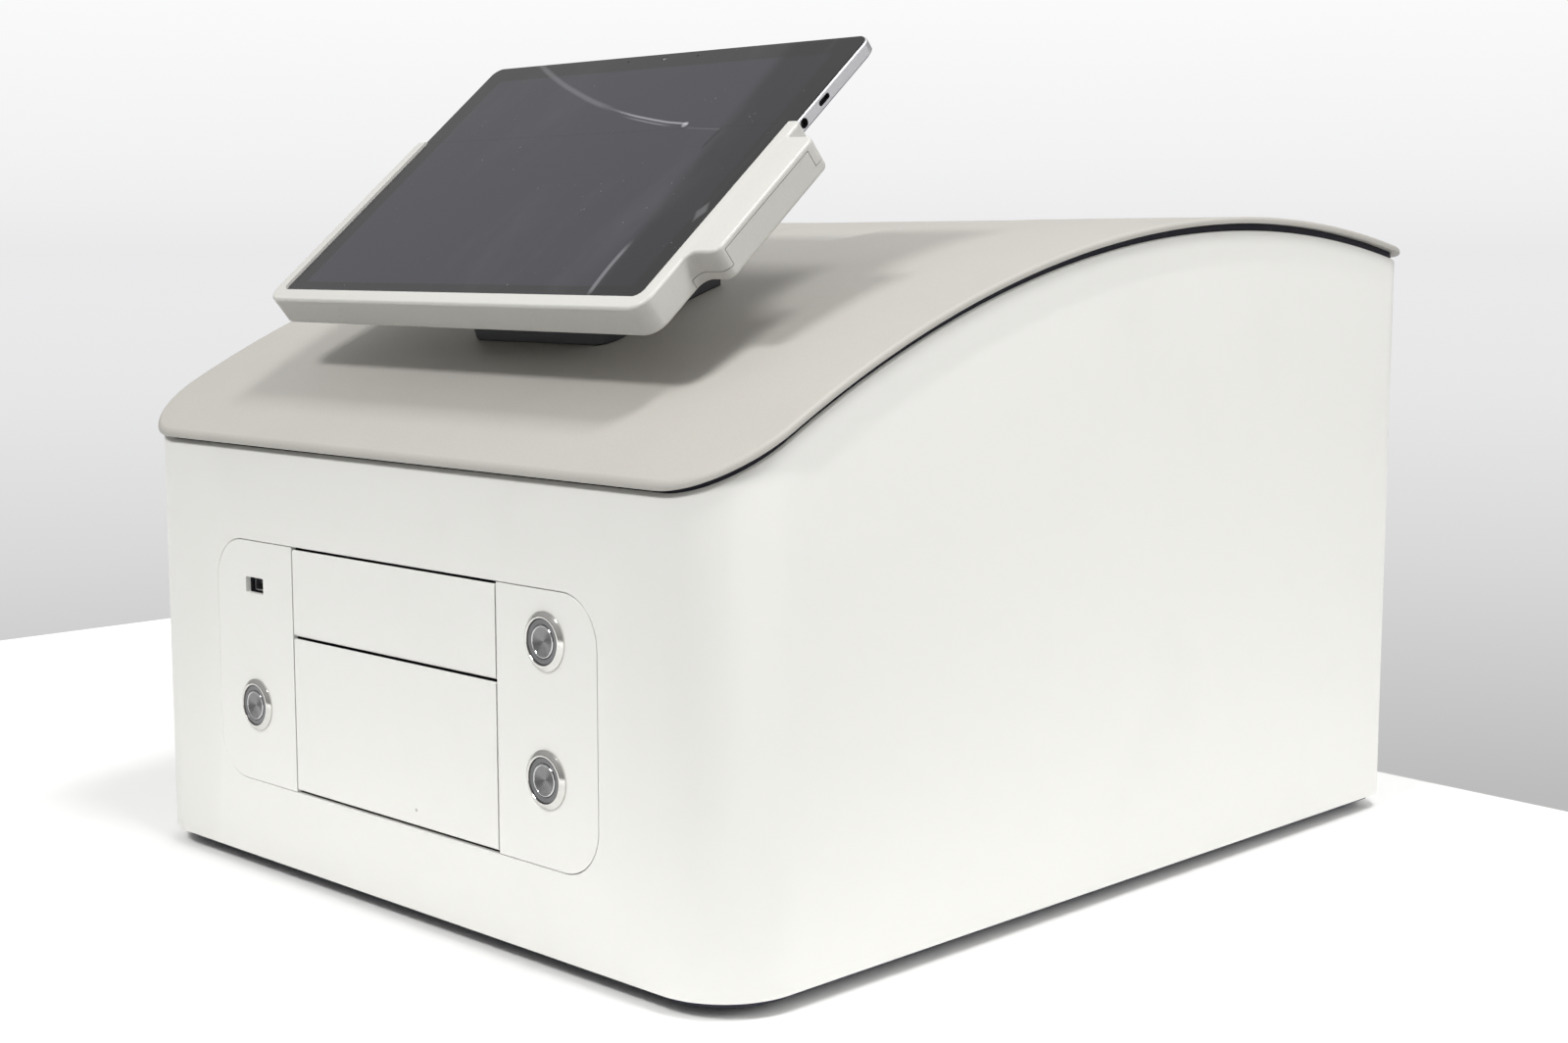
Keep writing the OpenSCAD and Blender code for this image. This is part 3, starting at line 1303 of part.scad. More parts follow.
// The turning fork: a disc with its spigot, and two round-topped ears for the pin
module stand_yoke() {
    rise = hinge_h - yoke_base_h;
    color([0.12, 0.12, 0.14]) at_foot() translate([0, 0, yoke_base_h]) difference() {
        union() {
            cylinder(h = yoke_base_t, r = bearing_d / 2 - 2);
            translate([0, 0, -5]) cylinder(h = 5 + cut, r = 10);
            for (side = [-1, 1]) translate([side > 0 ? ear_gap / 2 : -ear_gap / 2 - ear_t, 0, 0]) {
                translate([0, -ear_r, yoke_base_t - cut]) cube([ear_t, 2 * ear_r, rise - yoke_base_t + cut]);
                translate([0, 0, rise]) rotate([0, 90, 0]) cylinder(h = ear_t, r = ear_r);
            }
        }
        translate([-ear_gap, 0, rise]) rotate([0, 90, 0])
            cylinder(h = 2 * ear_gap, r = tilt_pin_d / 2 + 0.02);
    }
}

module tilt_pin() {
    half = ear_gap / 2 + ear_t;
    color([0.75, 0.75, 0.77]) at_foot() translate([0, 0, hinge_h]) rotate([0, 90, 0]) {
        translate([0, 0, -half - 3]) cylinder(h = 2 * half + 6, r = tilt_pin_d / 2);
        for (z = [-half - 5, half + 0.2]) translate([0, 0, z]) cylinder(h = 4.8, r = tilt_pin_d / 2 + 3);
    }
}

// The knuckle on the pin with its web and the square plate behind the cradle
module tilt_bracket() {
    half = ear_gap / 2 - knuckle_play;
    plate_c = hinge_to_glass - cradle_depth;
    color([0.12, 0.12, 0.14]) at_hinge() difference() {
        union() {
            translate([-half, 0, 0]) rotate([0, 90, 0]) cylinder(h = 2 * half, r = ear_r - 1);
            translate([-half, -ear_r + 1, 0]) cube([2 * half, 2 * (ear_r - 1), plate_c - tilt_plate_t + cut]);
            translate([0, tilt_plate_mid, plate_c - tilt_plate_t]) linear_extrude(tilt_plate_t)
                round_rect_mid(tilt_plate_w, tilt_plate_h, 8);
        }
        translate([-ear_gap, 0, 0]) rotate([0, 90, 0])
            cylinder(h = 2 * ear_gap, r = tilt_pin_d / 2 + tilt_pin_play);
        for (x = [-1, 1], y = [-1, 1])
            translate([x * tilt_hole_pitch / 2, tilt_plate_mid + y * tilt_hole_pitch / 2,
                plate_c - tilt_plate_t - cut]) cylinder(h = tilt_plate_t + 2 * cut, r = 2.2);
    }
}

// ---- Cradle --------------------------------------------------------------------

// Outline of the cradle: a wide cup with two arms, and on the right the module that
// steps out through a hollow and a round corner
module cradle_plan() {
    w = cradle_half_w;
    low = -cradle_low;
    r = cradle_r;
    t = arm_tip_r;
    polygon([[-w + r, low], [w - r, low], [w, low + r], [w, arm_rise - t], [w - t, arm_rise],
        [-w + t, arm_rise], [-w, arm_rise - t], [-w, low + r]]);
    for (side = [-1, 1]) {
        translate([side * (w - r), low + r]) circle(r);
        translate([side * (w - t), arm_rise - t]) circle(t);
    }
    translate([w - 2 * module_r, -module_drop])
        round_rect(2 * module_r + module_out, module_rise + module_drop, module_r);
    corner_fill(w, -module_drop, -1, module_r);
    corner_fill(w, module_rise, 1, notch_r);
}

// Fills the inside corner at (x, y), above or below it, with a hollow of radius r
module corner_fill(x, y, up, r) {
    difference() {
        translate([x - 1, up > 0 ? y - 1 : y - r]) square([r + 1, r + 1]);
        translate([x + r, y + up * r]) circle(r);
    }
}

// Clear shape that the tablet fills, from depth z upwards
module tablet_pocket(z, h) {
    w = tablet_w + 2 * tablet_play;
    translate([-w / 2, -tablet_h / 2 - tablet_play, z]) linear_extrude(h)
        union() {
            round_rect(w, tablet_h, tablet_r);
            translate([0, tablet_r]) square([w, tablet_h]);
        }
}

// A moulded cup round the tablet's lower half, with ribs that the tablet's back
// rests on and a hollow module for its connector
module cradle_frame() {
    back = -cradle_depth;
    floor_c = back + cradle_back_t;
    rest_c = -tablet_t - 0.2;
    window_w = tablet_w - 2 * lip_side;
    color([0.88, 0.88, 0.86]) at_glass() difference() {
        translate([0, 0, back]) linear_extrude(cradle_depth + lip_t) cradle_plan();
        // The tablet's seat, and the front window between the lips
        tablet_pocket(rest_c, -rest_c);
        translate([-window_w / 2, -tablet_h / 2 + lip_bottom, -cut])
            linear_extrude(lip_t + 2 * cut) union() {
                round_rect(window_w, tablet_h, module_r);
                translate([0, module_r]) square([window_w, tablet_h]);
            }
        // Hollows between the ribs behind the tablet
        for (i = [0:5]) translate([(i - 2.5) * 46, -36, floor_c]) linear_extrude(rest_c - floor_c + cut)
            round_rect_mid(41, 116, 4);
        // Hollow of the connector module, open to the tablet's side and to the rear
        translate([tablet_w / 2 - 1, -module_drop + module_wall, back - cut])
            cube([module_x - tablet_w / 2 + 1 - module_wall, module_rise + module_drop - 2 * module_wall,
                cradle_depth + cut - 1.2]);
        translate([cover_x, -module_drop - cover_lap, back - cut])
            cube([beyond, module_rise + module_drop + 2 * cover_lap, cover_t + cut]);
        // Room for the cover's side panel
        translate([module_x - panel_t, -module_drop + module_r, back])
            cube([beyond, module_rise + module_drop - 2 * module_r - 3, cradle_depth - 1.2]);
        for (x = [-1, 1], y = [-1, 1])
            translate([x * tilt_hole_pitch / 2, tilt_plate_mid + y * tilt_hole_pitch / 2, back - cut])
                cylinder(h = cradle_back_t + 2 * cut, r = 2);
    }
}

// The module's rear cover, with the panel that comes up its side
module cradle_cover() {
    gap = 0.25;
    back = -cradle_depth;
    span = module_rise + module_drop;
    color([0.87, 0.87, 0.85]) at_glass() {
        difference() {
            intersection() {
                translate([0, 0, back]) linear_extrude(cover_t - gap) cradle_plan();
                translate([cover_x + gap, -module_drop - cover_lap + gap, back - cut])
                    cube([beyond, span + 2 * (cover_lap - gap), beyond]);
            }
            translate([cover_x + gap + 3, -module_drop + module_wall, back + 2])
                cube([module_x - cover_x - gap - 3 - module_wall, span - 2 * module_wall, cover_t]);
        }
        translate([module_x - panel_t + gap, -module_drop + module_r + gap, back + cover_t - gap - cut])
            cube([panel_t - gap, span - 2 * module_r - 3 - 2 * gap, cradle_depth - 1.2 - cover_t + cut]);
    }
}

// The connector's plug in the module, pushed into the tablet's side
module dock_plug() {
    seat = tablet_w / 2;
    color([0.1, 0.1, 0.11]) at_glass()
        translate([seat + tablet_play + 0.4, dock_port[0] - 8, -tablet_t / 2 - 4])
            cube([module_x - seat - 4, 16, 7]);
    color([0.75, 0.75, 0.77]) at_glass() translate([seat - 7, dock_port[0] - 6, -tablet_t / 2 - 2.2])
        cube([8, 12, 4]);
}

// A flat case with chamfered rear edges, side ports and the recess of its stand
module tablet_body() {
    body_t = tablet_t - glass_t;
    c = 1.6;
    color([0.7, 0.71, 0.73]) at_glass() difference() {
        translate([0, 0, -tablet_t]) union() {
            translate([0, 0, c]) linear_extrude(body_t - c) round_rect_mid(tablet_w, tablet_h, tablet_r);
            hull() {
                translate([0, 0, c]) linear_extrude(0.01)
                    round_rect_mid(tablet_w, tablet_h, tablet_r, $fn = 32);
                linear_extrude(0.01)
                    round_rect_mid(tablet_w - 2 * c, tablet_h - 2 * c, tablet_r - c, $fn = 32);
            }
        }
        for (port = [dock_port, display_port])
            translate([tablet_w / 2 - 9, port[0] - port[1] / 2, -tablet_t / 2 - port[2] / 2])
                cube([10, port[1], port[2]]);
        translate([0, -tablet_h / 4, -tablet_t - cut]) linear_extrude(kickstand_t + cut)
            round_rect_mid(kickstand_w, kickstand_h, 5);
        translate([0, tablet_h / 2 - 18, -tablet_t - cut]) cylinder(h = 1 + cut, r = 4);
    }
}

// The stand plate folded flat into the tablet's back
module tablet_kickstand() {
    gap = 0.3;
    color([0.62, 0.63, 0.66]) at_glass() difference() {
        translate([0, -tablet_h / 4, -tablet_t]) linear_extrude(kickstand_t - 0.1)
            round_rect_mid(kickstand_w - 2 * gap, kickstand_h - 2 * gap, 5 - gap);
        translate([0, -tablet_h / 4 - kickstand_h / 2, -tablet_t - cut]) linear_extrude(beyond)
            round_rect_mid(40, 5, 2);
    }
}

// The cover glass with the front camera's and the microphones' holes
module tablet_glass() {
    color([0.05, 0.05, 0.06]) at_glass() difference() {
        translate([0, 0, -glass_t]) linear_extrude(glass_t)
            round_rect_mid(tablet_w - 2 * glass_rim, tablet_h - 2 * glass_rim, tablet_r - glass_rim);
        for (x = [-19, 0, 19]) translate([x, tablet_h / 2 - 6.5, -glass_t / 2])
            cylinder(h = 2, r = x == 0 ? 1.6 : 0.6);
    }
}

housing_shell();
rear_panel();
base_plate();
feet();
hood();
hood_seal();
hood_frame();
stand_backing_plate();
bezel_left();
bezel_right();
front_frame();
usb_port();
button_shells();
button_rings();
button_nuts();
button_cap(button_places[0]);  // button_cap_power
button_cap(button_places[1]);  // button_cap_source
button_cap(button_places[2]);  // button_cap_target
deck_plate();
side_frame_left();
side_frame_right();
slide_rails();
source_drawer_front();
source_carrier();
source_carriages();
target_drawer_front();
target_carrier();
target_carriages();
stepper_motors();
source_drive_pulley();
target_drive_pulley();
source_idler();
target_idler();
source_belt();
target_belt();
head_bridge();
head_carriage();
press_cylinder();
nozzle_manifold();
valve_bank();
air_reservoir();
air_pump();
power_supply();
control_board();
fan_housing();
fan_rotor();
fan_guard();
mains_inlet();
power_rocker();
network_port();
stand_foot();
stand_yoke();
tilt_pin();
tilt_bracket();
cradle_frame();
cradle_cover();
dock_plug();
tablet_body();
tablet_glass();
tablet_kickstand();
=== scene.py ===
"""Looks for a bench-top liquid handling robot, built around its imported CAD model.

Every visible piece rides on the CAD body that carries it. Lengths are written in millimetres
and turned into metres as the meshes are made. +X is to the machine's right, +Y to its rear.
"""

from __future__ import annotations

import json
import logging
import math
from dataclasses import dataclass
from enum import Enum
from typing import Sequence

import bmesh
import bpy
from mathutils import Matrix, Vector

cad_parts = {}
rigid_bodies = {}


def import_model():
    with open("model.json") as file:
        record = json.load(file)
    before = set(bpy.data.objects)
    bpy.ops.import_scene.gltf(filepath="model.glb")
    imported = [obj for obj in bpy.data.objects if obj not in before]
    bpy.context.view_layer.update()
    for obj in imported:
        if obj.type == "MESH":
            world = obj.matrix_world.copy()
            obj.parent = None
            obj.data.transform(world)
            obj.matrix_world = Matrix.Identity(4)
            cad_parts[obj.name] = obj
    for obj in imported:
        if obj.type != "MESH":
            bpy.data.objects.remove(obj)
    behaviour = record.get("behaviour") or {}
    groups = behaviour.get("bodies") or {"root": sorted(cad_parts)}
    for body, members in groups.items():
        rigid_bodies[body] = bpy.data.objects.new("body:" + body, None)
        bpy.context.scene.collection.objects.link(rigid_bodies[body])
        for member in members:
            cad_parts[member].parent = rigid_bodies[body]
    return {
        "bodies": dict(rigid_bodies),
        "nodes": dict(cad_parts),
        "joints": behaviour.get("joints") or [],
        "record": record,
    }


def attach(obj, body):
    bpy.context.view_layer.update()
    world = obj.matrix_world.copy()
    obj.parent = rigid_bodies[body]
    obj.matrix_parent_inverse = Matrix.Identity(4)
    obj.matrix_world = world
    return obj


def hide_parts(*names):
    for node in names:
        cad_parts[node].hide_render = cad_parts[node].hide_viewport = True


MM = 0.001
SMOOTH_DEGREES = 32.0
FAR = 1000.0
SCREEN_MIDDLE = (6.0, -171.74, 372.19)
SCREEN_TILT = 40.2
WELD = 2e-6
FLAT_ANGLE = math.radians(0.6)

Colour = tuple[float, float, float]
Point = tuple[float, float, float]
Flat = tuple[float, float]
Piece = bpy.types.Object
Material = bpy.types.Material
Shape = bmesh.types.BMesh

log = logging.getLogger("robot")


# ---- Shader maths ----------------------------------------------------------------


class Signal:
    """One output socket of a material, which takes part in Python arithmetic."""

    def __init__(self, look: Graph, socket: bpy.types.NodeSocket) -> None:
        """Wraps an output socket of a graph's tree."""
        self.look = look
        self.socket = socket

    def maths(self, operation: str, *values: Signal | float) -> Signal:
        """Adds a Math node with its operands in order."""
        return self.look.node("ShaderNodeMath", {"operation": operation}, dict(enumerate(values)))

    def __add__(self, other: Signal | float) -> Signal:
        """Adds."""
        return self.maths("ADD", self, other)

    def __sub__(self, other: Signal | float) -> Signal:
        """Subtracts."""
        return self.maths("SUBTRACT", self, other)

    def __rsub__(self, other: float) -> Signal:
        """Subtracts this from a number."""
        return self.maths("SUBTRACT", other, self)

    def __mul__(self, other: Signal | float) -> Signal:
        """Multiplies."""
        return self.maths("MULTIPLY", self, other)

    def __truediv__(self, other: Signal | float) -> Signal:
        """Divides."""
        return self.maths("DIVIDE", self, other)

    def __pow__(self, other: float) -> Signal:
        """Raises to a power."""
        return self.maths("POWER", self, other)

    __radd__ = __add__
    __rmul__ = __mul__

    def size(self) -> Signal:
        """Absolute value."""
        return self.maths("ABSOLUTE", self)

    def wave(self) -> Signal:
        """Sine of the value in radians."""
        return self.maths("SINE", self)

    def step(self, start: float, end: float) -> Signal:
        """Rises smoothly from 0 at start to 1 at end.

        Args:
            start: Value at which the result leaves 0.
            end: Value at which it reaches 1; below start, the step falls.

        Returns:
            The smooth step.
        """
        settings = {"interpolation_type": "SMOOTHSTEP"}
        if start < end:
            return self.look.node("ShaderNodeMapRange", settings, {0: self, 1: start, 2: end})
        falling = self.look.node("ShaderNodeMapRange", settings, {0: self, 1: end, 2: start})
        return 1 - falling


class Graph:
    """A node tree, in which every node is made by one method."""

    def __init__(self, tree: bpy.types.NodeTree) -> None:
        """Empties the tree of a material or of the world."""
        self.tree = tree
        tree.nodes.clear()

    def node(self, kind: str, settings: dict, inputs: dict, output: int | str = 0) -> Signal:
        """Adds any node.

        Args:
            kind: The node's type name.
            settings: Its properties, set first; "stops" fills a colour ramp.
            inputs: Values or signals by socket name or number.
            output: The socket that is returned.

        Returns:
            The chosen output, or the node's first input where it has no outputs.
        """
        made = self.tree.nodes.new(kind)
        for key, value in settings.items():
            if key == "stops":
                self._fill_ramp(made, value)
            else:
                setattr(made, key, value)
        for key, value in inputs.items():
            if isinstance(value, Signal):
                self.tree.links.new(value.socket, made.inputs[key])
            else:
                made.inputs[key].default_value = value
        return Signal(self, made.outputs[output] if len(made.outputs) else made.inputs[0])

    @staticmethod
    def _fill_ramp(ramp: bpy.types.Node, stops: Sequence[tuple[float, Colour]]) -> None:
        """Gives a colour ramp its stops.

        Args:
            ramp: The Color Ramp node.
            stops: Positions with their colours, in order.
        """
        elements = ramp.color_ramp.elements
        while len(elements) < len(stops):
            elements.new(1.0)
        for element, (place, colour) in zip(elements, stops):
            element.position = place
            element.color = (*colour, 1.0)

    def place(self, space: str = "Object") -> Signal:
        """The shaded point, in metres."""
        return self.node("ShaderNodeTexCoord", {}, {}, space)

    def axes(self, vector: Signal | None = None) -> tuple[Signal, Signal, Signal]:
        """Splits a vector.

        Args:
            vector: The vector; without one, the point on the object.

        Returns:
            Its x, y and z.
        """
        inputs = {0: self.place() if vector is None else vector}
        outputs = self.node("ShaderNodeSeparateXYZ", {}, inputs).socket.node.outputs
        return tuple(Signal(self, outputs[i]) for i in range(3))

    def seen(self) -> Signal:
        """Tells what the camera sees, itself or in metal and glass, from the light sent back.

        Returns:
            1 for what is seen and 0 for the rest.
        """
        rays = [self.node("ShaderNodeLightPath", {}, {}, f"Is {kind} Ray") for kind in (
            "Camera", "Glossy", "Transmission")]
        return (rays[0] + rays[1] + rays[2]).step(0.0, 1.0)

    def blend(self, factor: Signal | float, first: Colour | Signal,
              second: Colour | Signal) -> Signal:
        """Mixes two colours.

        Args:
            factor: 0 gives the first and 1 the second.
            first: The first colour.
            second: The second colour.

        Returns:
            The mixture.
        """
        pair = [c if isinstance(c, Signal) else (*c, 1.0) for c in (first, second)]
        inputs = {0: factor, 6: pair[0], 7: pair[1]}
        return self.node("ShaderNodeMix", {"data_type": "RGBA"}, inputs, 2)


class Look(Graph):
    """A material under construction: one Principled shader and what feeds it."""

    def __init__(self, name: str) -> None:
        """Starts an empty material.

        Args:
            name: The material's name.
        """
        self.material = bpy.data.materials.new(name)
        self.material.use_nodes = True
        super().__init__(self.material.node_tree)
        surface = self.node("ShaderNodeBsdfPrincipled", {}, {})
        self.shader = surface.socket.node
        self.node("ShaderNodeOutputMaterial", {}, {"Surface": surface})

    def noise(self, scale: float, detail: float = 3.0, roughness: float = 0.5,
              stretch: Point = (1.0, 1.0, 1.0)) -> Signal:
        """Soft noise from 0 to 1.

        Args:
            scale: Features per metre.
            detail: Octaves.
            roughness: Weight of the finer octaves.
            stretch: Scale along each axis, for brushed or streaked surfaces.

        Returns:
            The noise.
        """
        stretched = {0: self.place(), 1: stretch}
        spot = self.node("ShaderNodeVectorMath", {"operation": "MULTIPLY"}, stretched)
        inputs = {"Vector": spot, "Scale": scale, "Detail": detail, "Roughness": roughness}
        return self.node("ShaderNodeTexNoise", {}, inputs, "Fac")

    def cells(self, scale: float, randomness: float = 1.0) -> Signal:
        """Distance in cells to the nearest of scattered points, so many to the metre."""
        inputs = {"Vector": self.place(), "Scale": scale, "Randomness": randomness}
        return self.node("ShaderNodeTexVoronoi", {}, inputs, "Distance")

    def set(self, **constants: float) -> None:
        """Sets constants on the shader's own sockets, with underscores for spaces."""
        for key, value in constants.items():
            self.shader.inputs[key.replace("_", " ")].default_value = value

    def feed(self, name: str, signal: Signal) -> None:
        """Links a signal to one of the shader's sockets that may vary."""
        self.tree.links.new(signal.socket, self.shader.inputs[name])

    def bump(self, height: Signal, depth: float, strength: float = 1.0) -> None:
        """Roughens the surface by a height from 0 to 1, whose depth is in millimetres."""
        inputs = {"Height": height, "Distance": depth * MM, "Strength": strength}
        self.feed("Normal", self.node("ShaderNodeBump", {}, inputs))


# ---- Finishes --------------------------------------------------------------------


class Finish:
    """What every finish shares: its material is made once and then used again."""

    name: str
    _made: dict[str, Material] = {}

    def material(self) -> Material:
        """The finish's material, made when it is first asked for.

        Returns:
            The material.
        """
        if self.name not in Finish._made:
            look = Look(self.name)
            self.paint(look)
            Finish._made[self.name] = look.material
        return Finish._made[self.name]

    def paint(self, look: Look) -> None:
        """Builds the material's nodes."""
        raise NotImplementedError


@dataclass(frozen=True)
class SatinPaint(Finish):
    """Powder paint on sheet metal: a faint orange peel, soft smudges and a few specks."""

    name: str
    colour: Colour
    shade: Colour
    roughness: float = 0.42
    peel_depth: float = 0.02
    speck_rate: float = 16.0

    def paint(self, look: Look) -> None:
        """Satin paint with faint smudges, rub marks and specks.

        Args:
            look: The material's nodes.
        """
        smudge = look.noise(9.0, 4.0, 0.6).step(0.52, 0.78)
        rub = look.noise(38.0, 5.0, 0.65, (1.0, 1.0, 0.45)).step(0.56, 0.80)
        speck = look.cells(self.speck_rate).step(0.022, 0.012)
        speck *= look.noise(7.0, 1.0).step(0.52, 0.60)
        tone = look.blend(smudge * 0.30 + rub * 0.12, self.colour, self.shade)
        look.feed("Base Color", look.blend(speck * 0.7, tone, (0.25, 0.24, 0.22)))
        look.feed("Roughness", self.roughness + rub * 0.06 - smudge * 0.05)
        peel = look.noise(420.0, 2.0, 0.4) * 0.7 + look.noise(1900.0, 2.0) * 0.3
        look.bump(peel, self.peel_depth, 0.55)
        look.set(Specular_IOR_Level=0.42)


@dataclass(frozen=True)
class GrainedMoulding(Finish):
    """Moulded plastic with a fine grain from its tool and a speckle of tone."""

    name: str
    colour: Colour
    shade: Colour
    roughness: float = 0.55
    grain: float = 1500.0
    grain_depth: float = 0.04
    speckle: float = 0.5
    specular: float = 0.4

    def paint(self, look: Look) -> None:
        """Grained plastic with a broad unevenness and light wear.

        Args:
            look: The material's nodes.
        """
        fine = look.noise(self.grain, 3.0, 0.6)
        broad = look.noise(14.0, 3.0, 0.55)
        wear = look.noise(60.0, 5.0, 0.7).step(0.58, 0.85)
        speckle = fine.step(0.35, 0.70) * self.speckle + broad.step(0.35, 0.75) * 0.25
        look.feed("Base Color", look.blend(speckle, self.colour, self.shade))
        look.feed("Roughness", self.roughness + (fine - 0.5) * 0.12 - wear * 0.06)
        look.bump(fine * 0.8 + look.cells(self.grain * 0.6) * 0.2, self.grain_depth, 0.6)
        look.set(Specular_IOR_Level=self.specular)


@dataclass(frozen=True)
class Metal(Finish):
    """Machined or rolled metal with brushing along one axis and light tarnish."""

    name: str
    colour: Colour
    roughness: float = 0.3
    brushed: Point = (1.0, 1.0, 1.0)
    depth: float = 0.004

    def paint(self, look: Look) -> None:
        """Metal with brush strokes and a little tarnish.

        Args:
            look: The material's nodes.
        """
        strokes = look.noise(900.0, 3.0, 0.6, self.brushed)
        tarnish = look.noise(45.0, 4.0, 0.6).step(0.45, 0.8)
        dull = tuple(channel * 0.78 for channel in self.colour)
        look.feed("Base Color", look.blend(tarnish * 0.5 + strokes * 0.2, self.colour, dull))
        look.feed("Roughness", self.roughness + strokes * 0.10 + tarnish * 0.08)
        look.bump(strokes, self.depth, 0.5)
        look.set(Metallic=1.0)


@dataclass(frozen=True)
class TurnedMetal(Finish):
    """Metal turned on a lathe: rings round the piece's own z axis."""

    name: str
    colour: Colour
    roughness: float = 0.22
    pitch: float = 0.16
    depth: float = 0.012
    fan: float = 0.0

    def paint(self, look: Look) -> None:
        """Turned metal: rings about its axis, smears and, if asked for, a painted fan of
        reflections that darkens sectors round the axis.

        Args:
            look: The material's nodes.
        """
        x, y, _ = look.axes()
        radius = (x * x + y * y) ** 0.5
        wander = look.noise(1400.0, 2.0) * 0.6
        rings = (radius * (2 * math.pi / (self.pitch * MM)) + wander).wave() * 0.5 + 0.5
        fine = (radius * (2 * math.pi / (self.pitch * 0.37 * MM))).wave() * 0.25
        smear = look.noise(260.0, 3.0, 0.6).step(0.5, 0.85)
        dull = tuple(channel * 0.7 for channel in self.colour)
        tone = look.blend(rings * 0.18 + smear * 0.35, self.colour, dull)
        # Painted reflection: the fan darkens the colour in wedges round the axis, so lighter and
        # darker sectors stand in for the highlights of spun metal.
        if self.fan:
            turn = y.maths("ARCTAN2", y, x)
            fan = (turn * 2.0 + 0.9).wave() * 0.35 + (turn * 4.0 + 0.3).wave() * 0.15 + 0.5
            dark = tuple(channel * 0.12 for channel in self.colour)
            tone = look.blend(fan * self.fan, tone, dark)
        look.feed("Base Color", tone)
        look.feed("Roughness", self.roughness + smear * 0.08)
        look.bump(rings + fine, self.depth, 0.8)
        look.set(Metallic=1.0)


@dataclass(frozen=True)
class Rubber(Finish):
    """Dull black rubber with dust in its pores."""

    name: str
    colour: Colour = (0.022, 0.022, 0.025)
    roughness: float = 0.78

    def paint(self, look: Look) -> None:
        """Rubber with pores and dust in them.

        Args:
            look: The material's nodes.
        """
        pores = look.noise(1200.0, 4.0, 0.65)
        dust = look.noise(120.0, 4.0, 0.7).step(0.55, 0.9)
        look.feed("Base Color", look.blend(dust * 0.35, self.colour, (0.11, 0.11, 0.11)))
        look.feed("Roughness", self.roughness + dust * 0.12)
        look.bump(pores, 0.05, 0.6)
        look.set(Specular_IOR_Level=0.3)


@dataclass(frozen=True)
class SmokedRing(Finish):
    """Dark translucent plastic of a light ring, clear-coated and a little cloudy."""

    name: str = "smoked_ring"
    colour: Colour = (0.085, 0.085, 0.09)

    def paint(self, look: Look) -> None:
        """Smoked plastic that clouds a little.

        Args:
            look: The material's nodes.
        """
        cloud = look.noise(500.0, 3.0)
        look.feed("Base Color", look.blend(cloud, self.colour, (0.12, 0.12, 0.125)))
        look.feed("Roughness", 0.28 + cloud * 0.1)
        look.bump(cloud, 0.01, 0.4)
        look.set(Specular_IOR_Level=0.5, Coat_Roughness=0.12, Coat_Weight=0.4)


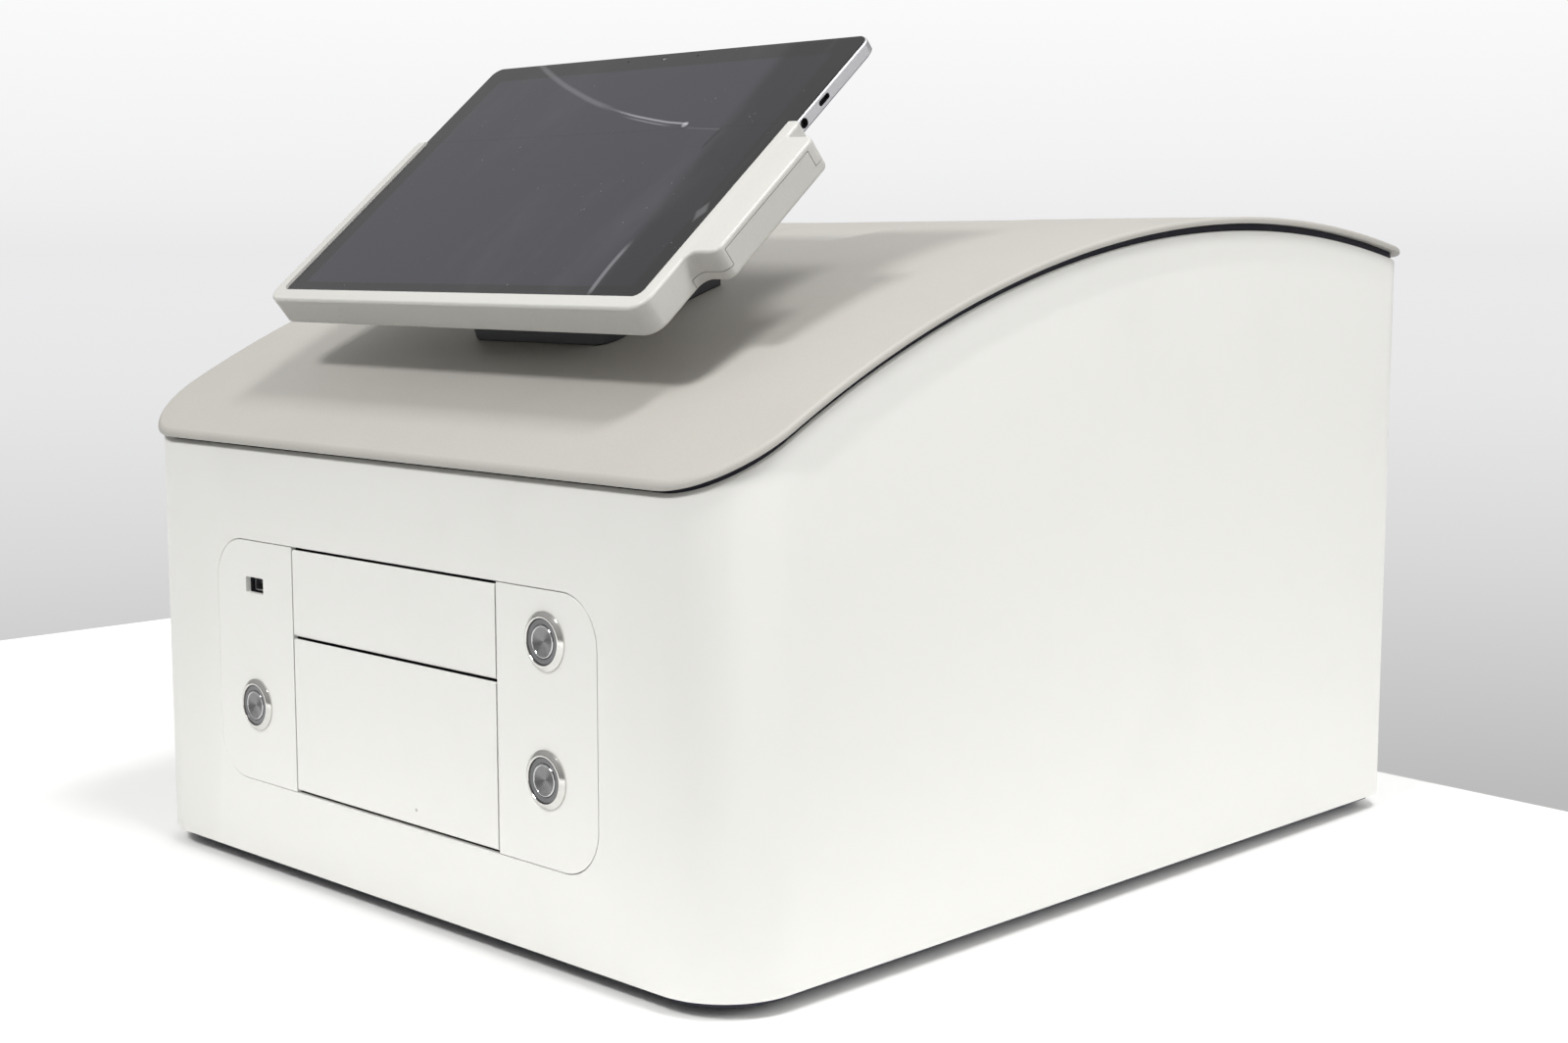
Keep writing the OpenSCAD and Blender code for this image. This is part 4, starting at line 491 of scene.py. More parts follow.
@dataclass(frozen=True)
class CoverGlass(Finish):
    """Black-backed cover glass: a display area that is a shade lighter than its border,
    creases of a protective film and dust, in the tablet's own axes."""

    name: str = "cover_glass"
    display_half: Flat = (130.0, 86.7)
    border: Colour = (0.033, 0.032, 0.034)
    display: Colour = (0.043, 0.041, 0.049)
    film: Colour = (0.40, 0.40, 0.42)

    def paint(self, look: Look) -> None:
        """A display a shade lighter than its border, under creases, smears and dust.

        Args:
            look: The material's nodes.
        """
        x, y, _ = (axis / MM for axis in look.axes())
        edge_x, edge_y = self.display_half
        display = x.size().step(edge_x + 0.5, edge_x) * y.size().step(edge_y + 0.5, edge_y)
        smear = look.noise(16.0, 5.0, 0.6, (1.0, 0.45, 1.0)).step(0.50, 0.80)
        streaks = look.noise(42.0, 4.0, 0.6, (1.0, 0.12, 1.0)).step(0.55, 0.80)
        streaks *= x.step(96.0, 128.0)
        dust = look.cells(190.0).step(0.10, 0.05) * look.noise(30.0, 2.0).step(0.52, 0.62)
        wander = (look.noise(22.0, 2.0) - 0.5) * 5.0
        bright, faint, dark = self._creases(x, y, wander)
        covered = (x + y * 0.06).step(106.0, 93.0)
        tone = look.blend(display, self.border, self.display)
        tone = look.blend(covered * 0.6 + 0.4, (0.012, 0.012, 0.012), tone)
        tone = look.blend(smear * 0.12 + streaks * 0.16, tone, (0.13, 0.13, 0.135))
        tone = look.blend(dark * 0.6, tone, (0.014, 0.014, 0.014))
        mark = bright * 0.5 + faint * 0.16 + dust * 0.25
        look.feed("Base Color", look.blend(mark, tone, self.film))
        look.feed("Roughness", 0.08 + smear * 0.10 + bright * 0.25 + dust * 0.3)
        look.bump(bright + faint * 0.4 + smear * 0.05, 0.05, 0.4)
        look.set(Specular_IOR_Level=0.22)

    @staticmethod
    def _creases(x: Signal, y: Signal, wander: Signal) -> tuple[Signal, Signal, Signal]:
        """Creases of the film, in millimetres from the glass's middle.

        Args:
            x: Distance to the right.
            y: Distance up the slope.
            wander: How far the lines stray.

        Returns:
            Masks of the bright creases, the faint ones and the dark line at the film's end.
        """
        along = x + 33.0
        sag = y - 63.4 + along * 0.41 - along ** 2.0 * 0.0013 + wander * 0.35
        upper = sag.size().step(1.1, 0.25) * x.step(-14.0, 26.0) * x.step(69.0, 66.0)
        echo = (sag + 2.4).size().step(0.9, 0.2) * x.step(6.0, 30.0) * x.step(60.0, 44.0)
        upper = upper + echo * 0.5
        faint = sag.size().step(2.6, 0.5) * x.step(-134.0, -90.0) * x.step(4.0, -20.0)
        bubble = ((x - 66.5) ** 2.0 + (y - 35.0) ** 2.0).step(5.5, 2.5)
        smudge = ((x - 133.5).size() * 0.9 + (y + 34.0).size() * 0.45 + wander).step(4.5, 2.5)
        bend = x - 103.0 + ((y + 66.0) / 9.0) ** 2.0 * -0.25 + wander * 0.2
        lower = bend.size().step(2.2, 0.6) * y.step(-95.0, -88.0) * y.step(-52.0, -66.0)
        across = (y - 30.0 + (x - 90.0) * 0.10).size().step(0.9, 0.3)
        across = across * x.step(69.0, 72.0) * x.step(97.0, 95.0)
        down = (x - 96.5 + (30.0 - y) * 0.12).size().step(1.6, 0.5)
        down = down * y.step(13.0, 18.0) * y.step(31.0, 29.0)
        return upper + bubble + smudge * 0.35 + lower * 0.6, faint + across * 0.5, down


@dataclass(frozen=True)
class CircuitBoard(Finish):
    """Green solder mask over faint traces, with tinned pads."""

    name: str = "circuit_board"

    def paint(self, look: Look) -> None:
        """A circuit board with pads and traces.

        Args:
            look: The material's nodes.
        """
        inputs = {"Vector": look.place(), "Scale": 330.0}
        settings = {"distance": "CHEBYCHEV", "feature": "F1"}
        traces = look.node("ShaderNodeTexVoronoi", settings, inputs, "Distance").step(0.36, 0.40)
        pads = look.cells(160.0, 0.4).step(0.13, 0.10)
        mask = look.blend(traces * 0.5, (0.012, 0.10, 0.04), (0.03, 0.18, 0.07))
        look.feed("Base Color", look.blend(pads, mask, (0.55, 0.52, 0.42)))
        look.feed("Metallic", pads)
        look.feed("Roughness", 0.35 + traces * 0.1)
        look.bump(traces * 0.5 + pads, 0.03, 0.5)


class Tone(Enum):
    """The finishes of this machine, each under the name that its pieces use."""

    HOUSING = SatinPaint("housing_paint", (0.80, 0.795, 0.762), (0.74, 0.735, 0.70))
    FRONTS = SatinPaint("front_paint", (0.805, 0.80, 0.768), (0.735, 0.73, 0.70), 0.40)
    HOOD = GrainedMoulding("hood_moulding", (0.455, 0.438, 0.405), (0.40, 0.385, 0.355), 0.52)
    CRADLE = GrainedMoulding("cradle_moulding", (0.57, 0.562, 0.53), (0.525, 0.517, 0.487), 0.30,
                             1100.0, 0.006)
    BLACK = GrainedMoulding("black_moulding", (0.014, 0.014, 0.017), (0.022, 0.022, 0.026), 0.5,
                            1300.0, 0.03)
    BASE = GrainedMoulding("base_coating", (0.012, 0.012, 0.028), (0.02, 0.02, 0.04), 0.6,
                           900.0, 0.04)
    # The seal's near-black rubber also paints shade on the drawer fronts' top and bottom faces.
    SEAL_AND_GAP_SHADE = Rubber("seal_rubber_and_gap_shade", (0.006, 0.006, 0.012))
    FEET = Rubber("foot_rubber")
    BELT = Rubber("belt_rubber", (0.03, 0.03, 0.032), 0.7)
    FLANGE = TurnedMetal("polished_flange", (0.62, 0.61, 0.585), 0.12, 0.3, 0.003)
    # Painted shade and highlight: the cap's metal is darkened to stand in for dark reflections, and
    # its rim is a lighter copy of the same metal.
    CAP = TurnedMetal("spun_cap", (0.25, 0.25, 0.252), 0.20, fan=0.75)
    CAP_RIM = TurnedMetal("cap_rim", (0.52, 0.52, 0.525), 0.10, 0.3, 0.002)
    RING = SmokedRing()
    STEEL = Metal("bright_steel", (0.55, 0.55, 0.56), 0.28, (0.05, 1.0, 1.0))
    RAIL = Metal("ground_steel", (0.50, 0.50, 0.52), 0.22, (1.0, 0.04, 1.0))
    ALUMINIUM = Metal("milled_aluminium", (0.70, 0.71, 0.73), 0.36, (0.08, 1.0, 1.0))
    DARK_ALUMINIUM = Metal("anodised_carrier", (0.16, 0.165, 0.18), 0.42)
    BRASS = Metal("brass", (0.62, 0.45, 0.18), 0.26)
    TABLET = Metal("tablet_alloy", (0.50, 0.50, 0.52), 0.42, depth=0.001)
    TABLET_EDGE = Metal("polished_edge", (0.66, 0.66, 0.68), 0.60, depth=0.0)
    TABLET_SEAM = Metal("tablet_rear_edge", (0.06, 0.06, 0.10), 0.40)
    GLASS = CoverGlass()
    BOARD = CircuitBoard()
    BLUE = GrainedMoulding("capacitor_sleeve", (0.03, 0.05, 0.16), (0.04, 0.06, 0.2), 0.4)

    def material(self) -> Material:
        """The finish's material."""
        return self.value.material()


# ---- Shapes ----------------------------------------------------------------------


@dataclass(frozen=True)
class Corner:
    """One corner of an outline, which may be hollow, and its radius in millimetres."""

    x: float
    y: float
    radius: float


@dataclass(frozen=True)
class Outline:
    """A closed outline with filleted corners, anticlockwise, which can be inset evenly."""

    corners: tuple[Corner, ...]
    steps: int = 12
    pitch: float = 0.0

    @staticmethod
    def span(left: float, low: float, right: float, high: float, radius: float = 0.02,
             steps: int = 1) -> Outline:
        """A rectangle between two places, with rounded corners."""
        places = ((left, low), (right, low), (right, high), (left, high))
        return Outline(tuple(Corner(x, y, radius) for x, y in places), steps)

    def _fillet(self, i: int, inset: float) -> list[Vector]:
        """Points round one corner.

        Args:
            i: The corner's number.
            inset: How far inside the outline they lie.

        Returns:
            The points.
        """
        count = len(self.corners)
        here, before, after = (Vector((c.x, c.y)) for c in (
            self.corners[i], self.corners[i - 1], self.corners[(i + 1) % count]))
        into, out = (here - before).normalized(), (after - here).normalized()
        turn = 1.0 if into.cross(out) > 0 else -1.0
        first, last = Vector((-into.y, into.x)), Vector((-out.y, out.x))
        radius = self.corners[i].radius
        middle = here + (first + last) / (1 + first.dot(last)) * radius * turn
        start = math.atan2(-turn * first.y, -turn * first.x)
        sweep = turn * math.acos(max(-1.0, min(1.0, first.dot(last))))
        reach = radius - turn * inset
        angles = [start + sweep * k / self.steps for k in range(self.steps + 1)]
        return [middle + reach * Vector((math.cos(a), math.sin(a))) for a in angles]

    def ring(self, inset: float = 0.0) -> list[Flat]:
        """Points along the outline, in the same number for every inset.

        Args:
            inset: How far inside the outline they lie.

        Returns:
            The points.
        """
        count = len(self.corners)
        fillets = [self._fillet(i, inset) for i in range(count)]
        points: list[Flat] = []
        for i, fillet in enumerate(fillets):
            points += [tuple(p) for p in fillet]
            if self.pitch:
                start, end = fillet[-1], fillets[(i + 1) % count][0]
                plain = (self._fillet((i + 1) % count, 0.0)[0] - self._fillet(i, 0.0)[-1]).length
                spans = max(1, math.ceil(plain / self.pitch))
                points += [tuple(start.lerp(end, k / spans)) for k in range(1, spans)]
        return points

    def prism(self, inset: float, low: float, high: float) -> Shape:
        """A solid in metres between two heights, with its sides inset."""
        return loft(self.stack(((inset, low), (inset, high))))

    def stack(self, section: Sequence[Flat]) -> list[list[Point]]:
        """Rings at the insets and heights of a section's points."""
        return [[(x, y, z) for x, y in self.ring(inset)] for inset, z in section]


def new_piece(name: str, bm: Shape, tones: Sequence[Tone],
              place: Matrix | None = None, smooth: float = SMOOTH_DEGREES) -> Piece:
    """Turns a bmesh into an object with its finishes.

    Args:
        name: The object's name.
        bm: Its mesh in metres, which is freed.
        tones: Finishes in the order of the faces' material numbers.
        place: Where the object's own axes lie.
        smooth: Edges that fold by less than this many degrees are shaded smooth.

    Returns:
        The object.
    """
    crease(bm, smooth)
    mesh = bpy.data.meshes.new(name)
    bm.to_mesh(mesh)
    bm.free()
    piece = bpy.data.objects.new(name, mesh)
    bpy.context.scene.collection.objects.link(piece)
    for tone in tones:
        mesh.materials.append(tone.material())
    if place is not None:
        piece.matrix_world = place
    return piece


def crease(bm: Shape, smooth: float) -> None:
    """Shades a mesh smooth, apart from its sharp edges.

    Args:
        bm: The mesh.
        smooth: Edges that fold by at least this many degrees are sharp.
    """
    for face in bm.faces:
        face.smooth = True
    for edge in bm.edges:
        if len(edge.link_faces) == 2:
            edge.smooth = edge.calc_face_angle(0.0) < math.radians(smooth)


def outward(bm: Shape) -> None:
    """Turns all faces of a closed mesh outwards.

    Args:
        bm: The mesh.
    """
    bmesh.ops.recalc_face_normals(bm, faces=bm.faces)
    if bm.calc_volume(signed=True) < 0:
        bmesh.ops.reverse_faces(bm, faces=bm.faces)


def loft(rings: Sequence[Sequence[Point]], capped: bool = True, joined: bool = False) -> Shape:
    """Skins rings that all have the same number of points.

    Args:
        rings: The rings in millimetres, anticlockwise seen from where they lead to.
        capped: Whether the first and the last ring are filled.
        joined: Whether the last ring joins the first again.

    Returns:
        The mesh in metres.
    """
    bm = bmesh.new()
    rows = [[bm.verts.new(Vector(p) * MM) for p in ring] for ring in rings]
    pairs = list(zip(rows, rows[1:]))
    if joined:
        pairs.append((rows[-1], rows[0]))
    for low, high in pairs:
        for i in range(len(low)):
            j = (i + 1) % len(low)
            bm.faces.new((low[i], low[j], high[j], high[i]))
    if capped and not joined:
        bm.faces.new(list(reversed(rows[0])))
        bm.faces.new(rows[-1])
    outward(bm)
    return bm


def lathe(profile: Sequence[Flat], steps: int = 96) -> Shape:
    """Turns a profile about the z axis.

    Args:
        profile: Points (radius, z) in millimetres; a closed shape starts and ends at radius 0,
            and any other is closed from its last point back to its first.
        steps: Faces round.

    Returns:
        The mesh in metres.
    """
    solid = profile[0][0] == 0 and profile[-1][0] == 0
    inner = profile[1:-1] if solid else profile
    angles = [2 * math.pi * k / steps for k in range(steps)]
    rings = [[(r * math.cos(a), r * math.sin(a), z) for a in angles] for r, z in inner]
    bm = loft(rings, capped=False, joined=not solid)
    if solid:
        bm.verts.ensure_lookup_table()
        for row, point, flip in ((0, profile[0], True), (len(inner) - 1, profile[-1], False)):
            tip = bm.verts.new((0, 0, point[1] * MM))
            bm.verts.ensure_lookup_table()
            ring = [bm.verts[row * steps + k] for k in range(steps)]
            for k in range(steps):
                trio = (tip, ring[k], ring[(k + 1) % steps])
                bm.faces.new(tuple(reversed(trio)) if flip else trio)
        outward(bm)
    return bm


def applied(piece: Piece) -> Piece:
    """Bakes a piece's modifiers into its mesh.

    Args:
        piece: The object.

    Returns:
        The same object.
    """
    bpy.context.view_layer.update()
    graph = bpy.context.evaluated_depsgraph_get()
    mesh = bpy.data.meshes.new_from_object(
        piece.evaluated_get(graph), preserve_all_data_layers=True, depsgraph=graph)
    old = piece.data
    piece.modifiers.clear()
    piece.data = mesh
    bpy.data.meshes.remove(old)
    mesh.name = piece.name
    return piece


def softened(piece: Piece, width: float, segments: int = 3,
             angle: float = SMOOTH_DEGREES) -> Piece:
    """Rounds a piece's sharp edges.

    Args:
        piece: The object.
        width: Width of the rounding in millimetres; nothing is done at 0.
        segments: Faces across it.
        angle: Edges that fold by fewer degrees are left.

    Returns:
        The same object.
    """
    if not width:
        return piece
    bevel = piece.modifiers.new("edges", "BEVEL")
    bevel.width = width * MM
    bevel.segments = segments
    bevel.limit_method = "ANGLE"
    bevel.angle_limit = math.radians(angle)
    bevel.harden_normals = True
    bevel.material = 0 if len(piece.data.materials) > 1 else -1
    return applied(piece)


def combine(piece: Piece, other: Shape, way: str = "DIFFERENCE") -> Piece:
    """Takes another shape out of a piece, adds it, or keeps what they share.

    Args:
        piece: The object.
        other: The other shape, in the piece's own axes; it is freed.
        way: Blender's name for what is done.

    Returns:
        The same object.
    """
    tool = new_piece("tool", other, ())
    tool.matrix_world = piece.matrix_world
    boolean = piece.modifiers.new("shape", "BOOLEAN")
    boolean.solver = "EXACT"
    boolean.operation = way
    boolean.object = tool
    applied(piece)
    bm = bmesh.new()
    bm.from_mesh(piece.data)
    crease(bm, SMOOTH_DEGREES)
    bm.to_mesh(piece.data)
    bm.free()
    piece.modifiers.new("normals", "WEIGHTED_NORMAL").keep_sharp = True
    applied(piece)
    mesh = tool.data
    bpy.data.objects.remove(tool)
    bpy.data.meshes.remove(mesh)
    return piece


def about_axis(origin: Point, axis: Point, spin: float = 0.0) -> Matrix:
    """A place whose z axis points along a direction.

    Args:
        origin: The place in millimetres.
        axis: The direction.
        spin: Degrees that the place is spun about it.

    Returns:
        The matrix, in metres.
    """
    turn = Vector(axis).to_track_quat("Z", "Y").to_matrix().to_4x4()
    spun = turn @ Matrix.Rotation(math.radians(spin), 4, "Z")
    return Matrix.Translation(Vector(origin) * MM) @ spun


@dataclass(frozen=True)
class Zone:
    """A box, in millimetres, where a node's faces take another of its finishes."""

    finish: int
    low: Point = (-FAR, -FAR, -FAR)
    high: Point = (FAR, FAR, FAR)

    def holds(self, spot: Vector) -> bool:
        """Whether a point in millimetres lies in the box."""
        return all(low < value < high for low, value, high in zip(self.low, spot, self.high))


class Robot:
    """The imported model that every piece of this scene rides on."""

    def __init__(self, frame: dict) -> None:
        """Reads which body carries each node.
        """
        self.nodes = frame["nodes"]
        bodies = frame["record"]["behaviour"]["bodies"]
        self.body_of = {node: body for body, nodes in bodies.items() for node in nodes}

    def carry(self, piece: Piece, body: str, *nodes: str) -> Piece:
        """Lets a body carry a piece, which may stand for CAD nodes.

        Args:
            piece: The object, already in place.
            body: The body's name.
            nodes: The nodes that it replaces.

        Returns:
            The piece.
        """
        if nodes:
            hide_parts(*nodes)
        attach(piece, body)
        log.info("%s: %d faces on %s", piece.name, len(piece.data.polygons), body)
        return piece

    def surfaced(self, node: str, tones: Sequence[Tone], width: float,
                 zones: Sequence[Zone] = (), segments: int = 2) -> Piece:
        """Replaces a node by a copy of its mesh with rounded edges.

        Args:
            node: The node's name.
            tones: Its finishes; the first one holds outside the zones.
            width: Width of the rounding in millimetres.
            zones: Where the others lie; the first zone that holds a face's middle counts.
            segments: Faces across the rounding.

        Returns:
            The new piece.
        """
        bm = bmesh.new()
        bm.from_mesh(self.nodes[node].data)
        bmesh.ops.remove_doubles(bm, verts=bm.verts, dist=WELD)
        bmesh.ops.dissolve_limit(bm, angle_limit=FLAT_ANGLE, verts=bm.verts, edges=bm.edges)
        for face in bm.faces:
            middle = face.calc_center_median() / MM
            face.material_index = next((zone.finish for zone in zones if zone.holds(middle)), 0)
        piece = softened(new_piece(f"{node}_surface", bm, tones), width, segments)
        return self.carry(piece, self.body_of[node], node)

    def dress(self, rows: Sequence[tuple[str, Tone, float]], segments: int = 2) -> None:
        """Replaces nodes by rows of a node, its one finish and the width of its rounding."""
        for node, tone, width in rows:
            self.surfaced(node, (tone,), width, segments=segments)


# ---- Sub-assemblies --------------------------------------------------------------


@dataclass
class Housing:
    """The folded sheet housing with its front and rear openings, base and feet."""

    robot: Robot
    half_w: float = 237.0
    half_d: float = 278.5
    front_r: float = 40.0
    rear_r: float = 16.0
    foot_z: float = 8.0
    crest_y: float = 116.0
    crown_r: float = 734.0
    crown_z: float = -391.0
    wall: float = 3.0

    def plan(self, grow: float = 0.0, steps: int = 24, pitch: float = 12.0) -> Outline:
        """The outline seen from above.

        Args:
            grow: How far outside the housing it lies.
            steps: Faces in each corner.
            pitch: Greatest distance between points on the straights.

        Returns:
            The outline.
        """
        w, d = self.half_w + grow, self.half_d + grow
        front, rear = self.front_r + grow, self.rear_r + grow
        corners = (Corner(-w, -d, front), Corner(w, -d, front), Corner(w, d, rear),
                   Corner(-w, d, rear))
        return Outline(corners, steps, pitch)

    def crown(self, y: float, rise: float = 0.0) -> float:
        """Height of the arc that the top follows, or of one that lies above it by a rise."""
        return self.crown_z + math.sqrt((self.crown_r + rise) ** 2 - (y - self.crest_y) ** 2)

    def build(self) -> None:
        """Builds the wall and dresses base, feet and deck."""
        plan = self.plan()
        lip = self.rear_r - 0.1
        bottom = ((lip, 0.0), (1.2, 0.0), (0.35, 0.35), (0.0, 1.2))
        top = ((0.0, -1.0), (0.3, -0.3), (1.0, 0.0), (10.0, 0.0), (10.0, -9.0), (self.wall, -9.0))
        rings = plan.stack([(inset, self.foot_z + z) for inset, z in bottom])
        rings += [[(x, y, self.crown(y) + z) for x, y in plan.ring(inset)] for inset, z in top]
        floor = self.foot_z + self.wall
        rings += plan.stack(((self.wall, floor), (lip, floor)))
        wall = new_piece("housing_wall", loft(rings, joined=True), (Tone.HOUSING,))
        front = Outline.span(-156.5, 50.3, 156.5, 180.3, 24.0, 16)
        rear = Outline.span(-180.0, 34.0, 180.0, 250.0, 2.0, 4)
        d = self.half_d
        for opening, low, high in ((front, -d - 2, -d + 5), (rear, d - 5, d + 2)):
            cutter = opening.prism(0, low, high)
            stand_up(cutter)
            combine(wall, cutter)
        softened(wall, 0.5, 2)
        self.robot.carry(wall, "chassis", "housing_shell")
        self.robot.dress((("base_plate", Tone.BASE, 0.5), ("feet", Tone.FEET, 0.6),
                          ("deck_plate", Tone.ALUMINIUM, 0.3)))


def stand_up(bm: Shape) -> None:
    """Turns a prism's plan upright: its y becomes height and its height becomes y.

    Args:
        bm: The mesh.
    """
    for vert in bm.verts:
        vert.co = Vector((vert.co.x, vert.co.z, vert.co.y))
    outward(bm)


@dataclass
class Hood:
    """The crowned hood with its rolled rim, on a dark seal."""

    robot: Robot
    housing: Housing
    overhang: float = 3.0
    under: float = 3.9
    thick: float = 3.4
    roll: float = 2.1
    seal_inset: float = 2.6
    seal_w: float = 6.0

    def build(self) -> None:
        """Builds the sheet and dresses the seal and the frame under it."""
        plan = self.housing.plan(self.overhang, 28, 8.0)
        rings = [self._at(plan, 0.5, self.under, share) for share in (0.5, 0.9, 0.985, 1.0)]
        rings.append(self._at(plan, 0.0, self.under + 0.5))
        over = self.under + self.thick
        for k in range(10):
            angle = math.radians(10 * k)
            drop = self.roll * (1 - math.sin(angle))
            rings.append(self._at(plan, self.roll * (1 - math.cos(angle)), over - drop))
        for k in range(14):
            rings.append(self._at(plan, self.roll, over, max(1 - 0.02 * 1.32 ** k, 0.02)))
        sheet = new_piece("hood_sheet", loft(rings), (Tone.HOOD,))
        self.robot.carry(sheet, "chassis", "hood")
        rim = self.housing.plan(0.0, 28, 8.0)
        inner, outer = self.seal_inset + self.seal_w, self.seal_inset
        section = ((inner, 0.0), (outer, 0.0), (outer - 0.4, self.under / 2), (outer, self.under),
                   (inner, self.under))
        around = [self._at(rim, inset, rise) for inset, rise in section]
        seal = new_piece("seal_strip", loft(around, joined=True), (Tone.SEAL_AND_GAP_SHADE,))
        self.robot.carry(seal, "chassis", "hood_seal")
        self.robot.surfaced("hood_frame", (Tone.BLACK,), 0.3)

    def _at(self, plan: Outline, inset: float, rise: float, share: float = 1.0) -> list[Point]:
        """A ring on one of the hood's arcs, inset and then drawn in to a share of its size."""
        flat = [(x * share, y * share) for x, y in plan.ring(inset)]
        return [(x, y, self.housing.crown(y, rise)) for x, y in flat]


@dataclass
class FrontPanel:
    """Trim plates, drawer fronts and the socket behind its cut-out."""

    robot: Robot
    drawers: tuple[tuple[str, float, float], ...] = (
        ("target_drawer_front", 51.8, 132.3), ("source_drawer_front", 133.8, 178.8))
    strip: float = 0.1

    def build(self) -> None:
        """Builds the pieces of the front; the drawers' top and bottom faces take a near-black
        finish as painted shade in the gaps.
        """
        for node in ("bezel_left", "bezel_right"):
            self.robot.surfaced(node, (Tone.FRONTS,), 0.35, segments=3)
        for node, low, high in self.drawers:
            # Painted shade: faces at the drawer front's top and bottom take the near-black seal
            # finish, so the gaps above and below read dark.
            gap_shade_zones = (Zone(1, high=(FAR, FAR, low + self.strip)),
                      Zone(1, low=(-FAR, -FAR, high - self.strip)))
            self.robot.surfaced(node, (Tone.FRONTS, Tone.SEAL_AND_GAP_SHADE), 0.25, gap_shade_zones, 3)
        self.robot.surfaced("front_frame", (Tone.BLACK,), 0.3)
        board_low = Zone(2, (-FAR, -255.5, -FAR), (FAR, FAR, 152.7))
        board_high = Zone(2, (-FAR, -255.5, 159.9))
        tongue = Zone(1, (-126.0, -FAR, 156.6), (-115.0, -255.0, 158.6))
        self.robot.surfaced("usb_port", (Tone.STEEL, Tone.BLACK, Tone.BOARD), 0.1,
                            (board_low, board_high, tongue))


@dataclass
class PushButtons:
    """Three buttons, each with a polished flange, a smoked light ring and a spun cap."""

    robot: Robot
    front_y: float = -278.5
    places: tuple[tuple[str, float, float], ...] = (
        ("power", -120.5, 92.05), ("source", 120.5, 156.3), ("target", 120.5, 92.05))

    def build(self) -> None:
        """Builds flange, ring and cap of each button."""
        flange = ((14.0, 0.02), (14.0, 0.5), (13.9, 0.78), (13.62, 1.02), (11.95, 2.16),
                  (11.7, 2.28), (11.3, 2.3), (11.0, 2.24), (10.86, 2.1), (10.8, 1.9),
                  (10.8, -13.9), (4.0, -14.0), (4.0, -30.0), (8.5, -30.0), (8.5, -18.0),
                  (12.0, -18.0), (12.0, 0.02))
        ring = ((7.92, -8.0), (10.7, -8.0), (10.7, 1.1), (10.5, 1.36), (10.3, 1.48), (8.3, 1.5),
                (8.05, 1.42), (7.92, 1.25))
        cap = ((0.0, -11.5), (7.75, -11.5), (7.75, 1.42), (7.68, 1.64), (7.5, 1.82), (7.2, 1.9),
               (6.95, 1.84), (6.8, 1.7), (3.4, 1.3), (0.0, 0.9))
        for label, x, z in self.places:
            place = about_axis((x, self.front_y, z), (0, -1, 0))
            pieces = (("flange", flange, (Tone.FLANGE,), "chassis", "button_shells"),
                      ("light_ring", ring, (Tone.RING,), "chassis", "button_rings"),
                      ("cap", cap, (Tone.CAP, Tone.CAP_RIM), f"{label}_button",
                       f"button_cap_{label}"))
            for kind, profile, tones, body, node in pieces:
                turned = lathe(profile)
                # The rim faces take the lighter copy of the cap's metal, a painted highlight.
                for face in turned.faces:
                    rim = face.calc_center_median().xy.length > 6.82 * MM
                    face.material_index = int(rim and len(tones) > 1)
                piece = new_piece(f"{label}_button_{kind}", turned, tones, place, 24.0)
                self.robot.carry(piece, body, node)
        self.robot.surfaced("button_nuts", (Tone.STEEL,), 0.3)


@dataclass
class Mechanism:
    """Frame, drawers, belt drives and dispensing head inside the housing."""

    robot: Robot

    def build(self) -> None:
        """Rounds the edges of the machined parts and dresses them."""
        self.robot.dress((
            ("side_frame_left", Tone.ALUMINIUM, 0.4), ("side_frame_right", Tone.ALUMINIUM, 0.4),
            ("slide_rails", Tone.RAIL, 0.4)))
        axis_parts = (("carrier", Tone.DARK_ALUMINIUM, 0.4), ("carriages", Tone.STEEL, 0.3),
                      ("drive_pulley", Tone.ALUMINIUM, 0.0), ("idler", Tone.ALUMINIUM, 0.0),
                      ("belt", Tone.BELT, 0.0))
        self.robot.dress([(f"{side}_{part}", tone, width) for part, tone, width in axis_parts
                          for side in ("source", "target")])
        self.robot.dress((
            ("head_bridge", Tone.ALUMINIUM, 0.4), ("head_carriage", Tone.STEEL, 0.4),
            ("press_cylinder", Tone.ALUMINIUM, 0.3),
            ("nozzle_manifold", Tone.ALUMINIUM, 0.3), ("air_reservoir", Tone.ALUMINIUM, 0.4),
            ("air_pump", Tone.BLACK, 0.4), ("power_supply", Tone.ALUMINIUM, 0.3),
            ("stepper_motors", Tone.BLACK, 0.4)))
        bodies, coils = Zone(0, high=(FAR, FAR, 209.4)), Zone(1, high=(FAR, FAR, 213.5))
        self.robot.surfaced("valve_bank", (Tone.BLACK, Tone.STEEL, Tone.BRASS), 0.2,
                            (bodies, coils, Zone(2)))
        laminate = Zone(0, high=(FAR, FAR, 26.7))
        capacitors = Zone(2, (-144.0, 60.0, -FAR), (FAR, 120.0, FAR))
        self.robot.surfaced("control_board", (Tone.BOARD, Tone.BLACK, Tone.BLUE), 0.15,
                            (laminate, capacitors, Zone(1)))


